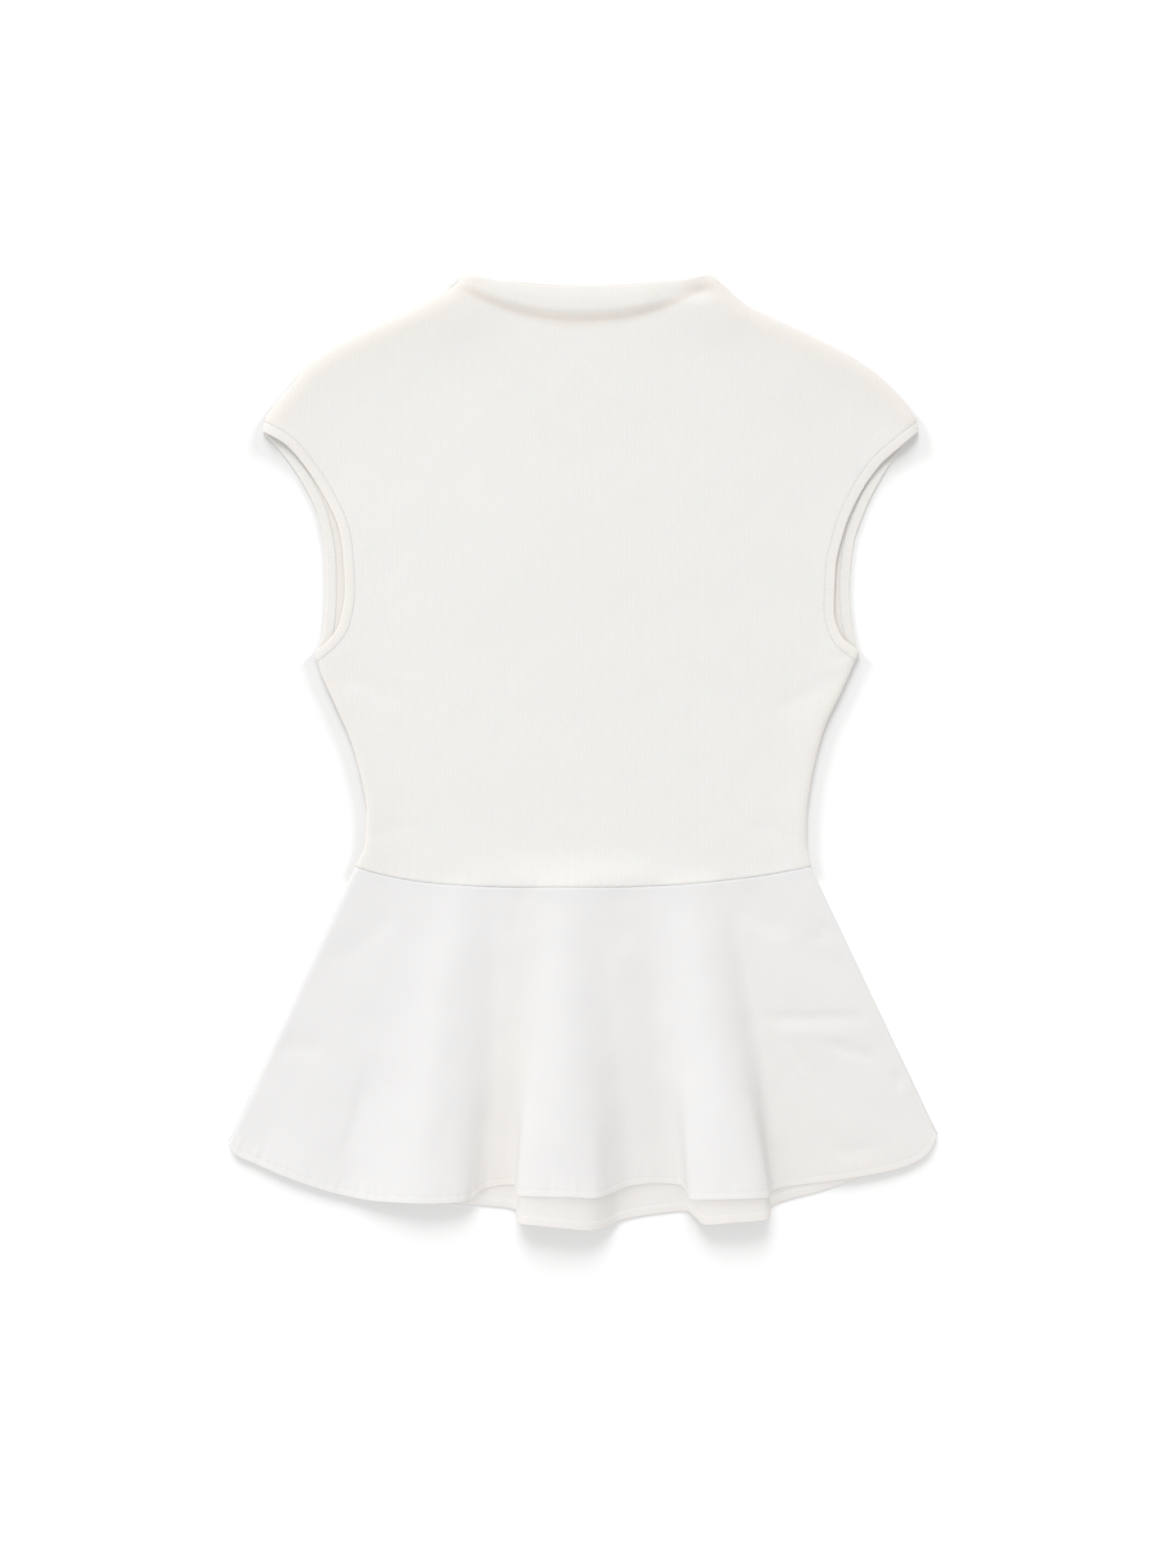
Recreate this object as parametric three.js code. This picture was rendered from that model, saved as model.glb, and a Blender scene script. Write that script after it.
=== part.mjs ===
// A cap-sleeved top of fine rib knit with a smooth woven peplum, laid flat on its back.
// Millimetres. X runs across the top, Y towards the neck and Z up from the surface it lies on.
// Left and right are the viewer's, looking down at the front.
import * as THREE from "three";

// Cloth and seams
const knitWall = 1.4;
const wovenWall = 1.0;
const hemTurnUp = 6; // depth of the peplum's turned hem
const hemPly = 0.5; // thickness that the turned ply adds inside
const seamGap = 0.3;
const bandWidth = 7; // binding round each armhole
const seamHeights = { side: 2.9, shoulder: 1.65 }; // seams above the surface

// Where the outline turns
const waistY = -79.8; // waist seam at the side seams
const waistSag = 14.2; // how far the waist seam dips at the centre
const underarmY = 70;
const sleeveTipY = 223;
const neckY = 332.7;
const neckSags = { front: { depth: 9.1, power: 2.4 }, back: { depth: 6.9, power: 1.8 } };

// How the cloth lies
const restGap = 0.8; // between front and back where the front lies on the back
const backRoll = 4.5; // width over which the back turns up to a seam
const rims = {
  side: { width: 15, height: 2.4, roll: 5 }, // roll is the width over which the front turns down
  shoulder: { width: 24, height: 3.6, roll: 12 },
};
const peplumRoll = 4;

const backMiddle = knitWall / 2;
const frontMiddle = knitWall * 1.5 + restGap;
const rollSteps = [0, 30, 60, 90].map((degrees) => 1 - Math.cos(THREE.MathUtils.degToRad(degrees)));

// Side seams, from the waist to the underarm
const sideSeams = {
  left: [
    { y: waistY, x: -157.5 },
    { y: -58, x: -150.2 },
    { y: -40, x: -149.8 },
    { y: -20, x: -153.2 },
    { y: 6, x: -160 },
    { y: 35, x: -172.5 },
    { y: 54, x: -181 },
    { y: underarmY, x: -185.8 },
  ],
  right: [
    { y: waistY, x: 158.5 },
    { y: -62, x: 155.6 },
    { y: -45, x: 155.8 },
    { y: -22, x: 158.6 },
    { y: 15, x: 167.6 },
    { y: 43, x: 180.5 },
    { y: underarmY, x: 192.5 },
  ],
};

// Shoulders, from the sleeve's tip to the neck
const shoulders = {
  left: [
    { y: sleeveTipY, x: -222 },
    { y: 231, x: -220.8 },
    { y: 241, x: -214.6 },
    { y: 254, x: -203.7 },
    { y: 269, x: -191 },
    { y: 279, x: -177.5 },
    { y: 290.5, x: -156.4 },
    { y: 310.5, x: -113 },
    { y: 318, x: -99.8 },
    { y: 326.6, x: -86.4 },
    { y: neckY, x: -83.8 },
  ],
  right: [
    { y: sleeveTipY, x: 233.7 },
    { y: 231, x: 232.2 },
    { y: 241, x: 225.3 },
    { y: 257.5, x: 210.7 },
    { y: 272, x: 192.5 },
    { y: 291, x: 156.2 },
    { y: 299.5, x: 137.9 },
    { y: 312, x: 112.6 },
    { y: 321, x: 101.6 },
    { y: 330, x: 92.2 },
    { y: neckY, x: 87.6 },
  ],
};

// Armhole edges, from the underarm to the sleeve's tip
const armholes = {
  left: {
    front: [
      { y: underarmY, x: -185.8 },
      { y: 79, x: -175.6 },
      { y: 91, x: -168.6 },
      { y: 113, x: -165.3 },
      { y: 141, x: -166.8 },
      { y: 155, x: -169.4 },
      { y: 180, x: -180.9 },
      { y: 206, x: -198.8 },
      { y: 214, x: -206.6 },
      { y: sleeveTipY, x: -222 },
    ],
    back: [
      { y: underarmY, x: -185.8 },
      { y: 83, x: -180.4 },
      { y: 113, x: -178.4 },
      { y: 134, x: -178.8 },
      { y: 163, x: -183.8 },
      { y: 189, x: -195.9 },
      { y: 209, x: -209.9 },
      { y: sleeveTipY, x: -222 },
    ],
  },
  right: {
    front: [
      { y: underarmY, x: 192.5 },
      { y: 82, x: 179.6 },
      { y: 98, x: 175.4 },
      { y: 127, x: 176.4 },
      { y: 155, x: 182.6 },
      { y: 176, x: 191.5 },
      { y: 199, x: 206.7 },
      { y: 213, x: 222.2 },
      { y: sleeveTipY, x: 233.7 },
    ],
    back: [
      { y: underarmY, x: 192.5 },
      { y: 86, x: 188.8 },
      { y: 113, x: 186.4 },
      { y: 142, x: 188.8 },
      { y: 168, x: 197 },
      { y: 193, x: 209.7 },
      { y: 212, x: 222.8 },
      { y: sleeveTipY, x: 233.7 },
    ],
  },
};

// Soft swells of the front bodice: a centre, two half-widths, the turn of the first and a height
const frontSwells = [
  { at: "left yoke", x: -146, y: 262, along: 70, across: 26, turn: 33, height: 1.2 },
  { at: "right yoke", x: 154, y: 262, along: 70, across: 26, turn: -31, height: 1.2 },
  { at: "neck, left", x: -78, y: 306, along: 26, across: 18, turn: 30, height: 1.6 },
  { at: "neck, right", x: 84, y: 306, along: 26, across: 18, turn: -30, height: 1.6 },
  { at: "left armhole", x: -164, y: 136, along: 50, across: 17, turn: 91, height: 5.2 },
  { at: "right armhole", x: 178, y: 136, along: 50, across: 17, turn: 87, height: 5.2 },
  { at: "left sleeve", x: -200, y: 214, along: 24, across: 16, turn: 125, height: 2.4 },
  { at: "right sleeve", x: 211, y: 214, along: 24, across: 16, turn: 55, height: 2.4 },
  { at: "waist centre", x: 2, y: -93, along: 62, across: 15, turn: 0, height: 4.6 },
  { at: "chest", x: -20, y: 150, along: 110, across: 60, turn: 20, height: 0.7 },
];

// The neck stands as a soft roll above a fold. part is the way from the top edge to the fold.
const neckRoll = [
  { part: 0, height: 6.2 },
  { part: 0.45, height: 7.4 },
  { part: 0.8, height: 4.6 },
  { part: 1.05, height: 0.6 },
  { part: 1.5, height: 1.2 },
  { part: 3, height: 0.5 },
  { part: 5, height: 0 },
];
const foldDepth = { centre: 23, ends: 9 };

// Flutes of the peplum, from the left side seam to the right one. waist and hem are x, drop is y
// at the hem, rise the height of the cloth's middle there, and crown what the front stands above
// the bodice at the waist.
const frontFlutes = [
  { at: "left side", waist: -157.5, hem: -246, drop: -271.5, rise: 5.2, crown: 0 },
  { at: "left corner", waist: -153, hem: -242, drop: -279.5, rise: 5.2, crown: 0 },
  { at: "left panel 1", waist: -146, hem: -228, drop: -286, rise: 5.6, crown: 0.2 },
  { at: "left panel 2", waist: -129, hem: -200, drop: -297.5, rise: 7, crown: 0.4 },
  { at: "left dip", waist: -109, hem: -166.6, drop: -308, rise: 6.4, crown: 0.2 },
  { at: "first rise", waist: -96, hem: -142, drop: -311.4, rise: 11.5, crown: 0.8 },
  { at: "first crest", waist: -84, hem: -110, drop: -311.8, rise: 17.5, crown: 1.8 },
  { at: "first brow", waist: -73, hem: -86, drop: -311.6, rise: 15, crown: 1.2 },
  { at: "first fall", waist: -67, hem: -76.5, drop: -310.6, rise: 9, crown: 0.4 },
  { at: "first trough", waist: -61, hem: -69, drop: -304.6, rise: 4.2, crown: -0.2 },
  { at: "first floor", waist: -46, hem: -57, drop: -302.1, rise: 2.6, crown: -0.5 },
  { at: "second foot", waist: -33, hem: -47.2, drop: -301.2, rise: 4, crown: -0.1 },
  { at: "second wall", waist: -30, hem: -46, drop: -303.4, rise: 12, crown: 0.8 },
  { at: "second brow", waist: -27.5, hem: -44.6, drop: -305.6, rise: 20.5, crown: 1.7 },
  { at: "second crest 1", waist: -21, hem: -34.4, drop: -305.4, rise: 25.4, crown: 2.3 },
  { at: "second crest 2", waist: -10, hem: -12.7, drop: -305.4, rise: 26.8, crown: 2.4 },
  { at: "second fall 1", waist: 0, hem: 9, drop: -307, rise: 23.8, crown: 1.6 },
  { at: "second fall 2", waist: 6, hem: 20, drop: -305.4, rise: 14.5, crown: 0.6 },
  { at: "second trough", waist: 14, hem: 34, drop: -301.7, rise: 5.8, crown: -0.6 },
  { at: "third floor", waist: 32, hem: 52, drop: -300.4, rise: 3.4, crown: -1.2 },
  { at: "third foot", waist: 52, hem: 68.4, drop: -301.4, rise: 4.2, crown: -0.6 },
  { at: "third wall", waist: 57.5, hem: 72, drop: -305.4, rise: 11.5, crown: 0.6 },
  { at: "third brow", waist: 61, hem: 74, drop: -308.2, rise: 20.5, crown: 1.6 },
  { at: "third crest 1", waist: 67, hem: 83.4, drop: -307.6, rise: 26, crown: 2.4 },
  { at: "third crest 2", waist: 77, hem: 101.6, drop: -306.8, rise: 28, crown: 2.8 },
  { at: "third crest 3", waist: 88, hem: 117, drop: -306.6, rise: 26.6, crown: 2.4 },
  { at: "fourth brow", waist: 95.5, hem: 128.2, drop: -307, rise: 20.5, crown: 1.4 },
  { at: "fourth wall", waist: 99, hem: 130, drop: -306.6, rise: 11.5, crown: 0.2 },
  { at: "fourth foot", waist: 103, hem: 132.6, drop: -305, rise: 4.4, crown: -0.4 },
  { at: "right trough", waist: 110, hem: 142, drop: -302.9, rise: 3.2, crown: -0.2 },
  { at: "right panel 1", waist: 122, hem: 170, drop: -299, rise: 5, crown: 0.4 },
  { at: "right panel 2", waist: 134, hem: 198, drop: -294.4, rise: 6.2, crown: 0.6 },
  { at: "right panel 3", waist: 146, hem: 224, drop: -288.6, rise: 5.6, crown: 0.3 },
  { at: "right corner", waist: 154, hem: 240.5, drop: -279, rise: 5.2, crown: 0 },
  { at: "right side", waist: 158.5, hem: 247, drop: -266.5, rise: 5.2, crown: 0 },
];

const backFlutes = [
  { at: "left side", waist: -157.5, hem: -246, drop: -271.5, rise: 0.5 },
  { at: "left corner", waist: -153, hem: -241, drop: -279, rise: 0.5 },
  { at: "left panel 1", waist: -140, hem: -216, drop: -289, rise: 0.5 },
  { at: "left panel 2", waist: -112, hem: -166, drop: -304, rise: 0.5 },
  { at: "left panel 3", waist: -84, hem: -118, drop: -312.5, rise: 0.5 },
  { at: "left panel 4", waist: -56, hem: -76, drop: -315.8, rise: 0.5 },
  { at: "second floor", waist: -34, hem: -54, drop: -317.6, rise: 0.5 },
  { at: "second foot", waist: -26, hem: -45.6, drop: -319.4, rise: 1.2 },
  { at: "second wall", waist: -24, hem: -44.8, drop: -322.4, rise: 6 },
  { at: "second brow", waist: -22, hem: -43.6, drop: -325.6, rise: 10.8 },
  { at: "second crest 1", waist: -17, hem: -35, drop: -326.2, rise: 13.4 },
  { at: "second crest 2", waist: -8, hem: -15, drop: -328, rise: 14.2 },
  { at: "second fall 1", waist: 1, hem: 6, drop: -330.2, rise: 12.2 },
  { at: "second fall 2", waist: 6, hem: 16, drop: -330, rise: 7 },
  { at: "second trough", waist: 13, hem: 27, drop: -326.1, rise: 1.2 },
  { at: "third floor", waist: 32, hem: 52, drop: -322, rise: 0.5 },
  { at: "third foot", waist: 57, hem: 73, drop: -319.9, rise: 0.7 },
  { at: "third wall", waist: 63, hem: 79, drop: -323.4, rise: 5 },
  { at: "third brow", waist: 67, hem: 85, drop: -326.8, rise: 10.2 },
  { at: "third crest 1", waist: 76, hem: 102, drop: -324.8, rise: 13.2 },
  { at: "third crest 2", waist: 87, hem: 119, drop: -323.8, rise: 13 },
  { at: "fourth brow", waist: 92, hem: 128.6, drop: -322.9, rise: 10.8 },
  { at: "fourth wall", waist: 95, hem: 129.8, drop: -320.6, rise: 5.6 },
  { at: "fourth foot", waist: 98, hem: 131, drop: -317.2, rise: 1.2 },
  { at: "right trough", waist: 106, hem: 139, drop: -313.6, rise: 0.5 },
  { at: "right panel 1", waist: 122, hem: 168, drop: -305.6, rise: 0.5 },
  { at: "right panel 2", waist: 140, hem: 210, drop: -290.5, rise: 0.5 },
  { at: "right corner", waist: 154, hem: 240, drop: -277.5, rise: 0.5 },
  { at: "right side", waist: 158.5, hem: 247, drop: -266.5, rise: 0.5 },
];

// A smooth curve through a table, without swinging past its rows: cubic pieces whose slope at a
// row is the harmonic mean of the two chords there, or level where the chords change sign.
function smooth(rows, key, value) {
  const chord = (i) => (rows[i + 1][value] - rows[i][value]) / (rows[i + 1][key] - rows[i][key]);
  const slopes = rows.map((_, i) => {
    if (i === 0) return chord(0);
    if (i === rows.length - 1) return chord(i - 1);
    const [before, after] = [chord(i - 1), chord(i)];
    return before * after > 0 ? (2 * before * after) / (before + after) : 0;
  });
  return (at) => {
    let i = 0;
    while (i < rows.length - 2 && at > rows[i + 1][key]) i += 1;
    const [a, b] = [rows[i], rows[i + 1]];
    const span = b[key] - a[key];
    const t = THREE.MathUtils.clamp((at - a[key]) / span, 0, 1);
    const bend = slopes[i] * t * (1 - t) ** 2 - slopes[i + 1] * t ** 2 * (1 - t);
    return THREE.MathUtils.lerp(a[value], b[value], t * t * (3 - 2 * t)) + bend * span;
  };
}

const mix = THREE.MathUtils.lerp;
const spread = (count) => Array.from({ length: count + 1 }, (_, i) => i / count);
// 0 to 1 with its steps close together at both ends
const crowded = (count) => spread(count).map((t) => (1 - Math.cos(Math.PI * t)) / 2);

// Height profile of cloth that turns round at an edge: 0 at the edge, 1 where it lies level
function turned(distance, width) {
  const away = 1 - Math.min(distance / width, 1);
  return Math.sqrt(1 - away * away);
}

function distanceTo(line, x, y) {
  let least = Infinity;
  for (let i = 1; i < line.length; i += 1) {
    const [a, b] = [line[i - 1], line[i]];
    const [dx, dy] = [b.x - a.x, b.y - a.y];
    const t = THREE.MathUtils.clamp(((x - a.x) * dx + (y - a.y) * dy) / (dx * dx + dy * dy), 0, 1);
    least = Math.min(least, Math.hypot(x - a.x - t * dx, y - a.y - t * dy));
  }
  return least;
}

// One side of the outline: its curves as x at a given y, lines to measure from, and the
// level direction that points out of the cloth at a seam.
function outline(name) {
  const inward = name === "left" ? 1 : -1;
  const seam = smooth(sideSeams[name], "y", "x");
  const shoulder = smooth(shoulders[name], "y", "x");
  const line = (curve, low, high) => spread(40).map((t) => ({ x: curve(mix(low, high, t)), y: mix(low, high, t) }));
  return {
    inward,
    seam,
    shoulder,
    edge: {
      front: smooth(armholes[name].front, "y", "x"),
      back: smooth(armholes[name].back, "y", "x"),
    },
    seamLine: line(seam, waistY, underarmY),
    shoulderLine: line(shoulder, sleeveTipY, neckY),
    outwards: (y) => {
      const [curve, low, high] = y < sleeveTipY ? [seam, waistY, underarmY] : [shoulder, sleeveTipY, neckY];
      const [from, to] = [Math.max(y - 2, low), Math.min(y + 2, high)];
      return new THREE.Vector3(from - to, curve(to) - curve(from), 0).normalize().multiplyScalar(inward);
    },
  };
}
const sides = { left: outline("left"), right: outline("right") };

// The front stands up a little where it turns down to a seam.
function rimHeight(away, shape) {
  return shape.height * Math.exp(-((away / shape.width) ** 2));
}

// Level height of the front bodice's middle surface, before its edges turn down
const rollHeight = smooth(neckRoll, "part", "height");
const neckDip = (face, across) => neckSags[face].depth * (1 - Math.abs(across) ** neckSags[face].power);
function neckTopY(x) {
  const across = (2 * x - (sides.left.shoulder(neckY) + sides.right.shoulder(neckY))) / (87.6 + 83.8);
  return neckY - neckDip("front", Math.min(Math.abs(across), 1));
}
function frontLevel(x, y) {
  let height = frontMiddle;
  for (const swell of frontSwells) {
    const turn = THREE.MathUtils.degToRad(swell.turn);
    const [dx, dy] = [x - swell.x, y - swell.y];
    const along = (dx * Math.cos(turn) + dy * Math.sin(turn)) / swell.along;
    const across = (dy * Math.cos(turn) - dx * Math.sin(turn)) / swell.across;
    height += swell.height * Math.exp(-along * along - across * across);
  }
  const middle = Math.max(1 - (x / 86) ** 2, 0);
  const depth = mix(foldDepth.ends, foldDepth.centre, middle);
  return height + rollHeight((neckTopY(x) - y) / depth) * Math.min(1, 0.35 + middle);
}

// The seams lie lower at the shoulders, where no cloth is gathered under them.
const seamHeight = (y) => mix(seamHeights.side, seamHeights.shoulder, THREE.MathUtils.smoothstep(y, 100, 200));

function frontHeight(x, y) {
  let turn = 1;
  let rim = 0;
  for (const side of Object.values(sides)) {
    for (const [line, shape] of [[side.seamLine, rims.side], [side.shoulderLine, rims.shoulder]]) {
      const away = distanceTo(line, x, y);
      turn = Math.min(turn, turned(away, shape.roll));
      rim = Math.max(rim, rimHeight(away, shape));
    }
  }
  const seam = seamHeight(y) + seamGap / 2;
  return seam + (frontLevel(x, y) + rim - seam) * turn;
}

function backHeight(x, y) {
  let nearest = Infinity;
  for (const side of Object.values(sides)) {
    nearest = Math.min(nearest, distanceTo(side.seamLine, x, y), distanceTo(side.shoulderLine, x, y));
  }
  const seam = seamHeight(y) - seamGap / 2;
  return seam + (backMiddle - seam) * turned(nearest, backRoll);
}

// A closed wall of cloth on a grid of middle points, with its faces half a thickness to each
// side. An edge that meets a seam stands square to it. options.fixed gives the direction of the
// outer face where the cloth turns round to its neighbour, options.ring joins the last row to
// the first, and outerPly and innerPly add a turned ply to the rows of a hem.
function clothWall(grid, thickness, options = {}) {
  const { fixed = () => null, ring = false, outerPly = () => 0, innerPly = () => 0, facing = 1 } = options;
  const [rows, columns] = [grid.length, grid[0].length];
  const at = (i, j) => {
    const row = ring ? (i + rows) % rows : THREE.MathUtils.clamp(i, 0, rows - 1);
    return grid[row][THREE.MathUtils.clamp(j, 0, columns - 1)];
  };
  const outer = [];
  const inner = [];
  for (let i = 0; i < rows; i += 1) {
    for (let j = 0; j < columns; j += 1) {
      const rising = at(i + 1, j).clone().sub(at(i - 1, j));
      const across = at(i, j + 1).clone().sub(at(i, j - 1));
      const normal = across.clone().cross(rising).normalize();
      const borders = [];
      if (j === 0 || j === columns - 1) borders.push(rising);
      if (!ring && (i === 0 || i === rows - 1)) borders.push(across);
      for (const border of borders) {
        const square = new THREE.Vector3(-border.y, border.x, 0).normalize();
        normal.addScaledVector(square, -normal.dot(square)).normalize();
      }
      normal.multiplyScalar(facing);
      const outwards = fixed(i, j) ?? normal;
      outer.push(grid[i][j].clone().addScaledVector(outwards, thickness / 2 + outerPly(i)));
      inner.push(grid[i][j].clone().addScaledVector(outwards, -thickness / 2 - innerPly(i)));
    }
  }
  const points = [...outer, ...inner];
  const faces = [];
  const quad = (a, b, c, d) => {
    if (facing > 0) faces.push(a, b, c, a, c, d);
    else faces.push(a, c, b, a, d, c);
  };
  const inside = outer.length;
  for (let i = 0; i < (ring ? rows : rows - 1); i += 1) {
    const [low, high] = [i * columns, ((i + 1) % rows) * columns];
    for (let j = 0; j < columns - 1; j += 1) {
      const [a, b, c, d] = [low + j, low + j + 1, high + j + 1, high + j];
      quad(a, b, c, d);
      quad(a + inside, d + inside, c + inside, b + inside);
    }
    const [lowEnd, highEnd] = [low + columns - 1, high + columns - 1];
    quad(low, high, high + inside, low + inside);
    quad(lowEnd, lowEnd + inside, highEnd + inside, highEnd);
  }
  const last = (rows - 1) * columns;
  for (let j = 0; j < (ring ? 0 : columns - 1); j += 1) {
    quad(j, j + inside, j + 1 + inside, j + 1);
    quad(last + j, last + j + 1, last + j + 1 + inside, last + j + inside);
  }
  const geometry = new THREE.BufferGeometry();
  geometry.setAttribute("position", new THREE.Float32BufferAttribute(points.flatMap((p) => p.toArray()), 3));
  geometry.setIndex(faces);
  geometry.computeVertexNormals();
  return geometry;
}

// A line along an armhole, a given reach inside its edge. Its ends lie on the outline: on the
// side seam below the underarm and on the shoulder above the sleeve's tip.
const armholeSteps = crowded(12);
function armholeLine(name, face, reach) {
  const side = sides[name];
  const edge = side.edge[face];
  const towards = (curve, from, to) => new THREE.Vector2(curve(to) - curve(from), to - from).normalize();
  const down = towards(side.seam, underarmY, underarmY - bandWidth);
  const up = towards(side.shoulder, sleeveTipY, sleeveTipY + bandWidth);
  const ending = (distance) => 1 - THREE.MathUtils.smoothstep(distance, 0, 0.16);
  return armholeSteps.map((t) => {
    const y = mix(underarmY, sleeveTipY, t);
    const [low, high] = [Math.max(y - 1, underarmY), Math.min(y + 1, sleeveTipY)];
    const way = new THREE.Vector2(high - low, edge(low) - edge(high)).normalize().multiplyScalar(side.inward);
    way.lerp(down, ending(t)).lerp(up, ending(1 - t)).normalize();
    return { x: edge(y) + way.x * reach, y: y + way.y * reach };
  });
}

// The waist seam dips more squarely on the left than on the right.
function waistLineY(x) {
  const [left, right] = [sideSeams.left[0].x, sideSeams.right[0].x];
  const across = (2 * x - left - right) / (right - left);
  return waistY - waistSag * (1 - Math.abs(across) ** (across < 0 ? 4 : 2.4));
}

// Rows of the bodice from the waist up: their two ends, how far they follow the waist's dip or
// the neck's, and how wide the cloth turns at their ends. On the seams the ends turn round.
function bodiceRows(face) {
  const names = ["left", "right"];
  const [left, right] = names.map((name) => armholeLine(name, face, bandWidth + seamGap / 2));
  const onCurve = (curve, low, high, t) =>
    names.map((name, k) => {
      const y = mix(low[k], high[k], t);
      return { x: sides[name][curve](y), y };
    });
  const low = [waistY, waistY].map((y) => y + seamGap / 2);
  const body = spread(8).slice(0, -1).map((t) => ({
    ends: onCurve("seam", low, [left[0].y, right[0].y], t),
    waist: 1 - THREE.MathUtils.smoothstep(t, 0, 0.6),
    neck: 0,
    roll: rims.side.roll,
    turned: true,
  }));
  const last = armholeSteps.length - 1;
  const middle = armholeSteps.map((t, k) => ({
    ends: [left[k], right[k]],
    waist: 0,
    neck: 0,
    roll: mix(rims.side.roll, rims.shoulder.roll, t),
    turned: k === 0 || k === last,
  }));
  const top = [0.06, 0.15, 0.25, 0.35, 0.45, 0.55, 0.64, 0.72, 0.78, 0.83, 0.875, 0.915, 0.955, 1].map((t) => ({
    ends: onCurve("shoulder", [left[last].y, right[last].y], [neckY, neckY], t),
    waist: 0,
    neck: THREE.MathUtils.smoothstep(t, 0.35, 1),
    roll: rims.shoulder.roll * mix(1.2, 2.2, Math.sin(Math.PI * t)),
    turned: true,
  }));
  return [...body, ...middle, ...top];
}

function bodicePanel(face) {
  const front = face === "front";
  const height = front ? frontHeight : backHeight;
  const rows = bodiceRows(face);
  const grid = rows.map((row) => {
    const [left, right] = row.ends;
    const near = rollSteps.map((step) => left.x + step * row.roll);
    const far = rollSteps.map((step) => right.x - step * row.roll).reverse();
    const between = spread(front ? 12 : 7).slice(1, -1).map((t) => mix(near.at(-1), far[0], t));
    return [...near, ...between, ...far].map((x) => {
      const part = (x - left.x) / (right.x - left.x);
      const dip = row.waist * (waistLineY(x) - waistY) - row.neck * neckDip(face, 2 * part - 1);
      const y = mix(left.y, right.y, part) + dip;
      return new THREE.Vector3(x, y, height(x, y));
    });
  });
  const columns = grid[0].length;
  const fixed = (i, j) => {
    if (!rows[i].turned || (j > 0 && j < columns - 1)) return null;
    const side = j === 0 ? sides.left : sides.right;
    return side.outwards(grid[i][j].y).multiplyScalar(front ? 1 : -1);
  };
  return clothWall(grid, knitWall, { fixed });
}

function armholeBand(name) {
  const half = (face, height) => {
    const edge = armholeLine(name, face, 0);
    const middle = armholeLine(name, face, bandWidth / 2);
    const seam = armholeLine(name, face, bandWidth - seamGap / 2);
    return edge.map((_, k) => [edge[k], middle[k], seam[k]].map((p) => new THREE.Vector3(p.x, p.y, height(p.x, p.y))));
  };
  const ring = [...half("front", frontHeight), ...half("back", backHeight).reverse()];
  const last = armholeSteps.length - 1;
  const fixed = (i, j) => {
    const step = Math.min(i, ring.length - 1 - i);
    return step === 0 || step === last ? sides[name].outwards(ring[i][j].y) : null;
  };
  return clothWall(ring, knitWall, { fixed, ring: true, facing: sides[name].inward });
}

// The peplum's cloth hangs from the waist in straight lines that fan out to the hem.
function peplumPanel(face) {
  const front = face === "front";
  let run = 0;
  const rows = (front ? frontFlutes : backFlutes).map((row, i, all) => {
    const before = all[Math.max(i - 1, 0)];
    run += Math.hypot(row.hem - before.hem, row.rise - before.rise, row.drop - before.drop);
    return { ...row, run };
  });
  const curve = {};
  for (const name of Object.keys(rows[0]).filter((key) => key !== "at")) curve[name] = smooth(rows, "run", name);
  const rolled = rollSteps.map((step) => step * peplumRoll * 1.2);
  const longest = front ? 14 : 24;
  const inner = rows.slice(1).flatMap((row, i) => {
    const count = Math.ceil((row.run - rows[i].run) / longest);
    return spread(count).slice(1).map((t) => mix(rows[i].run, row.run, t));
  });
  const clear = rolled.at(-1) + 2;
  const stations = [
    ...rolled,
    ...inner.filter((s) => s > clear && s < run - clear),
    ...rolled.map((s) => run - s).reverse(),
  ];
  const hemPart = 1 - hemTurnUp / (waistY - waistSag - frontFlutes[0].drop);
  const parts = front
    ? [0, 0.05, 0.14, 0.27, 0.42, 0.58, 0.74, 0.88, hemPart, hemPart + 0.004, 1]
    : [0, 0.12, 0.3, 0.5, 0.7, 0.87, hemPart, hemPart + 0.004, 1];
  const sideLines = [rows[0], rows.at(-1)].map((row) => [{ x: row.waist, y: waistY }, { x: row.hem, y: row.drop }]);
  const seam = seamHeights.side + (front ? seamGap / 2 : -seamGap / 2);
  const grid = parts.map((part) =>
    stations.map((s) => {
      const top = waistLineY(curve.waist(s)) - seamGap / 2;
      const x = mix(curve.waist(s), curve.hem(s), part);
      const y = mix(top, curve.drop(s), part);
      const away = Math.min(...sideLines.map((line) => distanceTo(line, x, y)));
      const atWaist = front ? frontLevel(curve.waist(s), top) + curve.crown(s) : wovenWall / 2;
      const rim = front ? rimHeight(away, rims.side) * (1 - part) : 0;
      const level = mix(atWaist, curve.rise(s), part ** 1.1) + rim;
      return new THREE.Vector3(x, y, seam + (level - seam) * turned(away, peplumRoll));
    }),
  );
  const columns = stations.length;
  const fixed = (i, j) => {
    if (j > 0 && j < columns - 1) return null;
    const [from, to] = sideLines[j === 0 ? 0 : 1];
    const outwards = new THREE.Vector3(to.y - from.y, from.x - to.x, 0).normalize();
    return outwards.multiplyScalar((j === 0 ? 1 : -1) * (front ? 1 : -1));
  };
  const ply = (i) => (parts[i] > hemPart ? hemPly : 0);
  return clothWall(grid, wovenWall, { fixed, [front ? "innerPly" : "outerPly"]: ply, facing: -1 });
}

const knit = new THREE.MeshStandardMaterial({ color: 0xf0efec, roughness: 0.85, metalness: 0 });
const woven = new THREE.MeshStandardMaterial({ color: 0xf3f2f1, roughness: 0.7, metalness: 0 });

function piece(name, geometry, material) {
  const mesh = new THREE.Mesh(geometry, material);
  mesh.name = name;
  return mesh;
}

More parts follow.
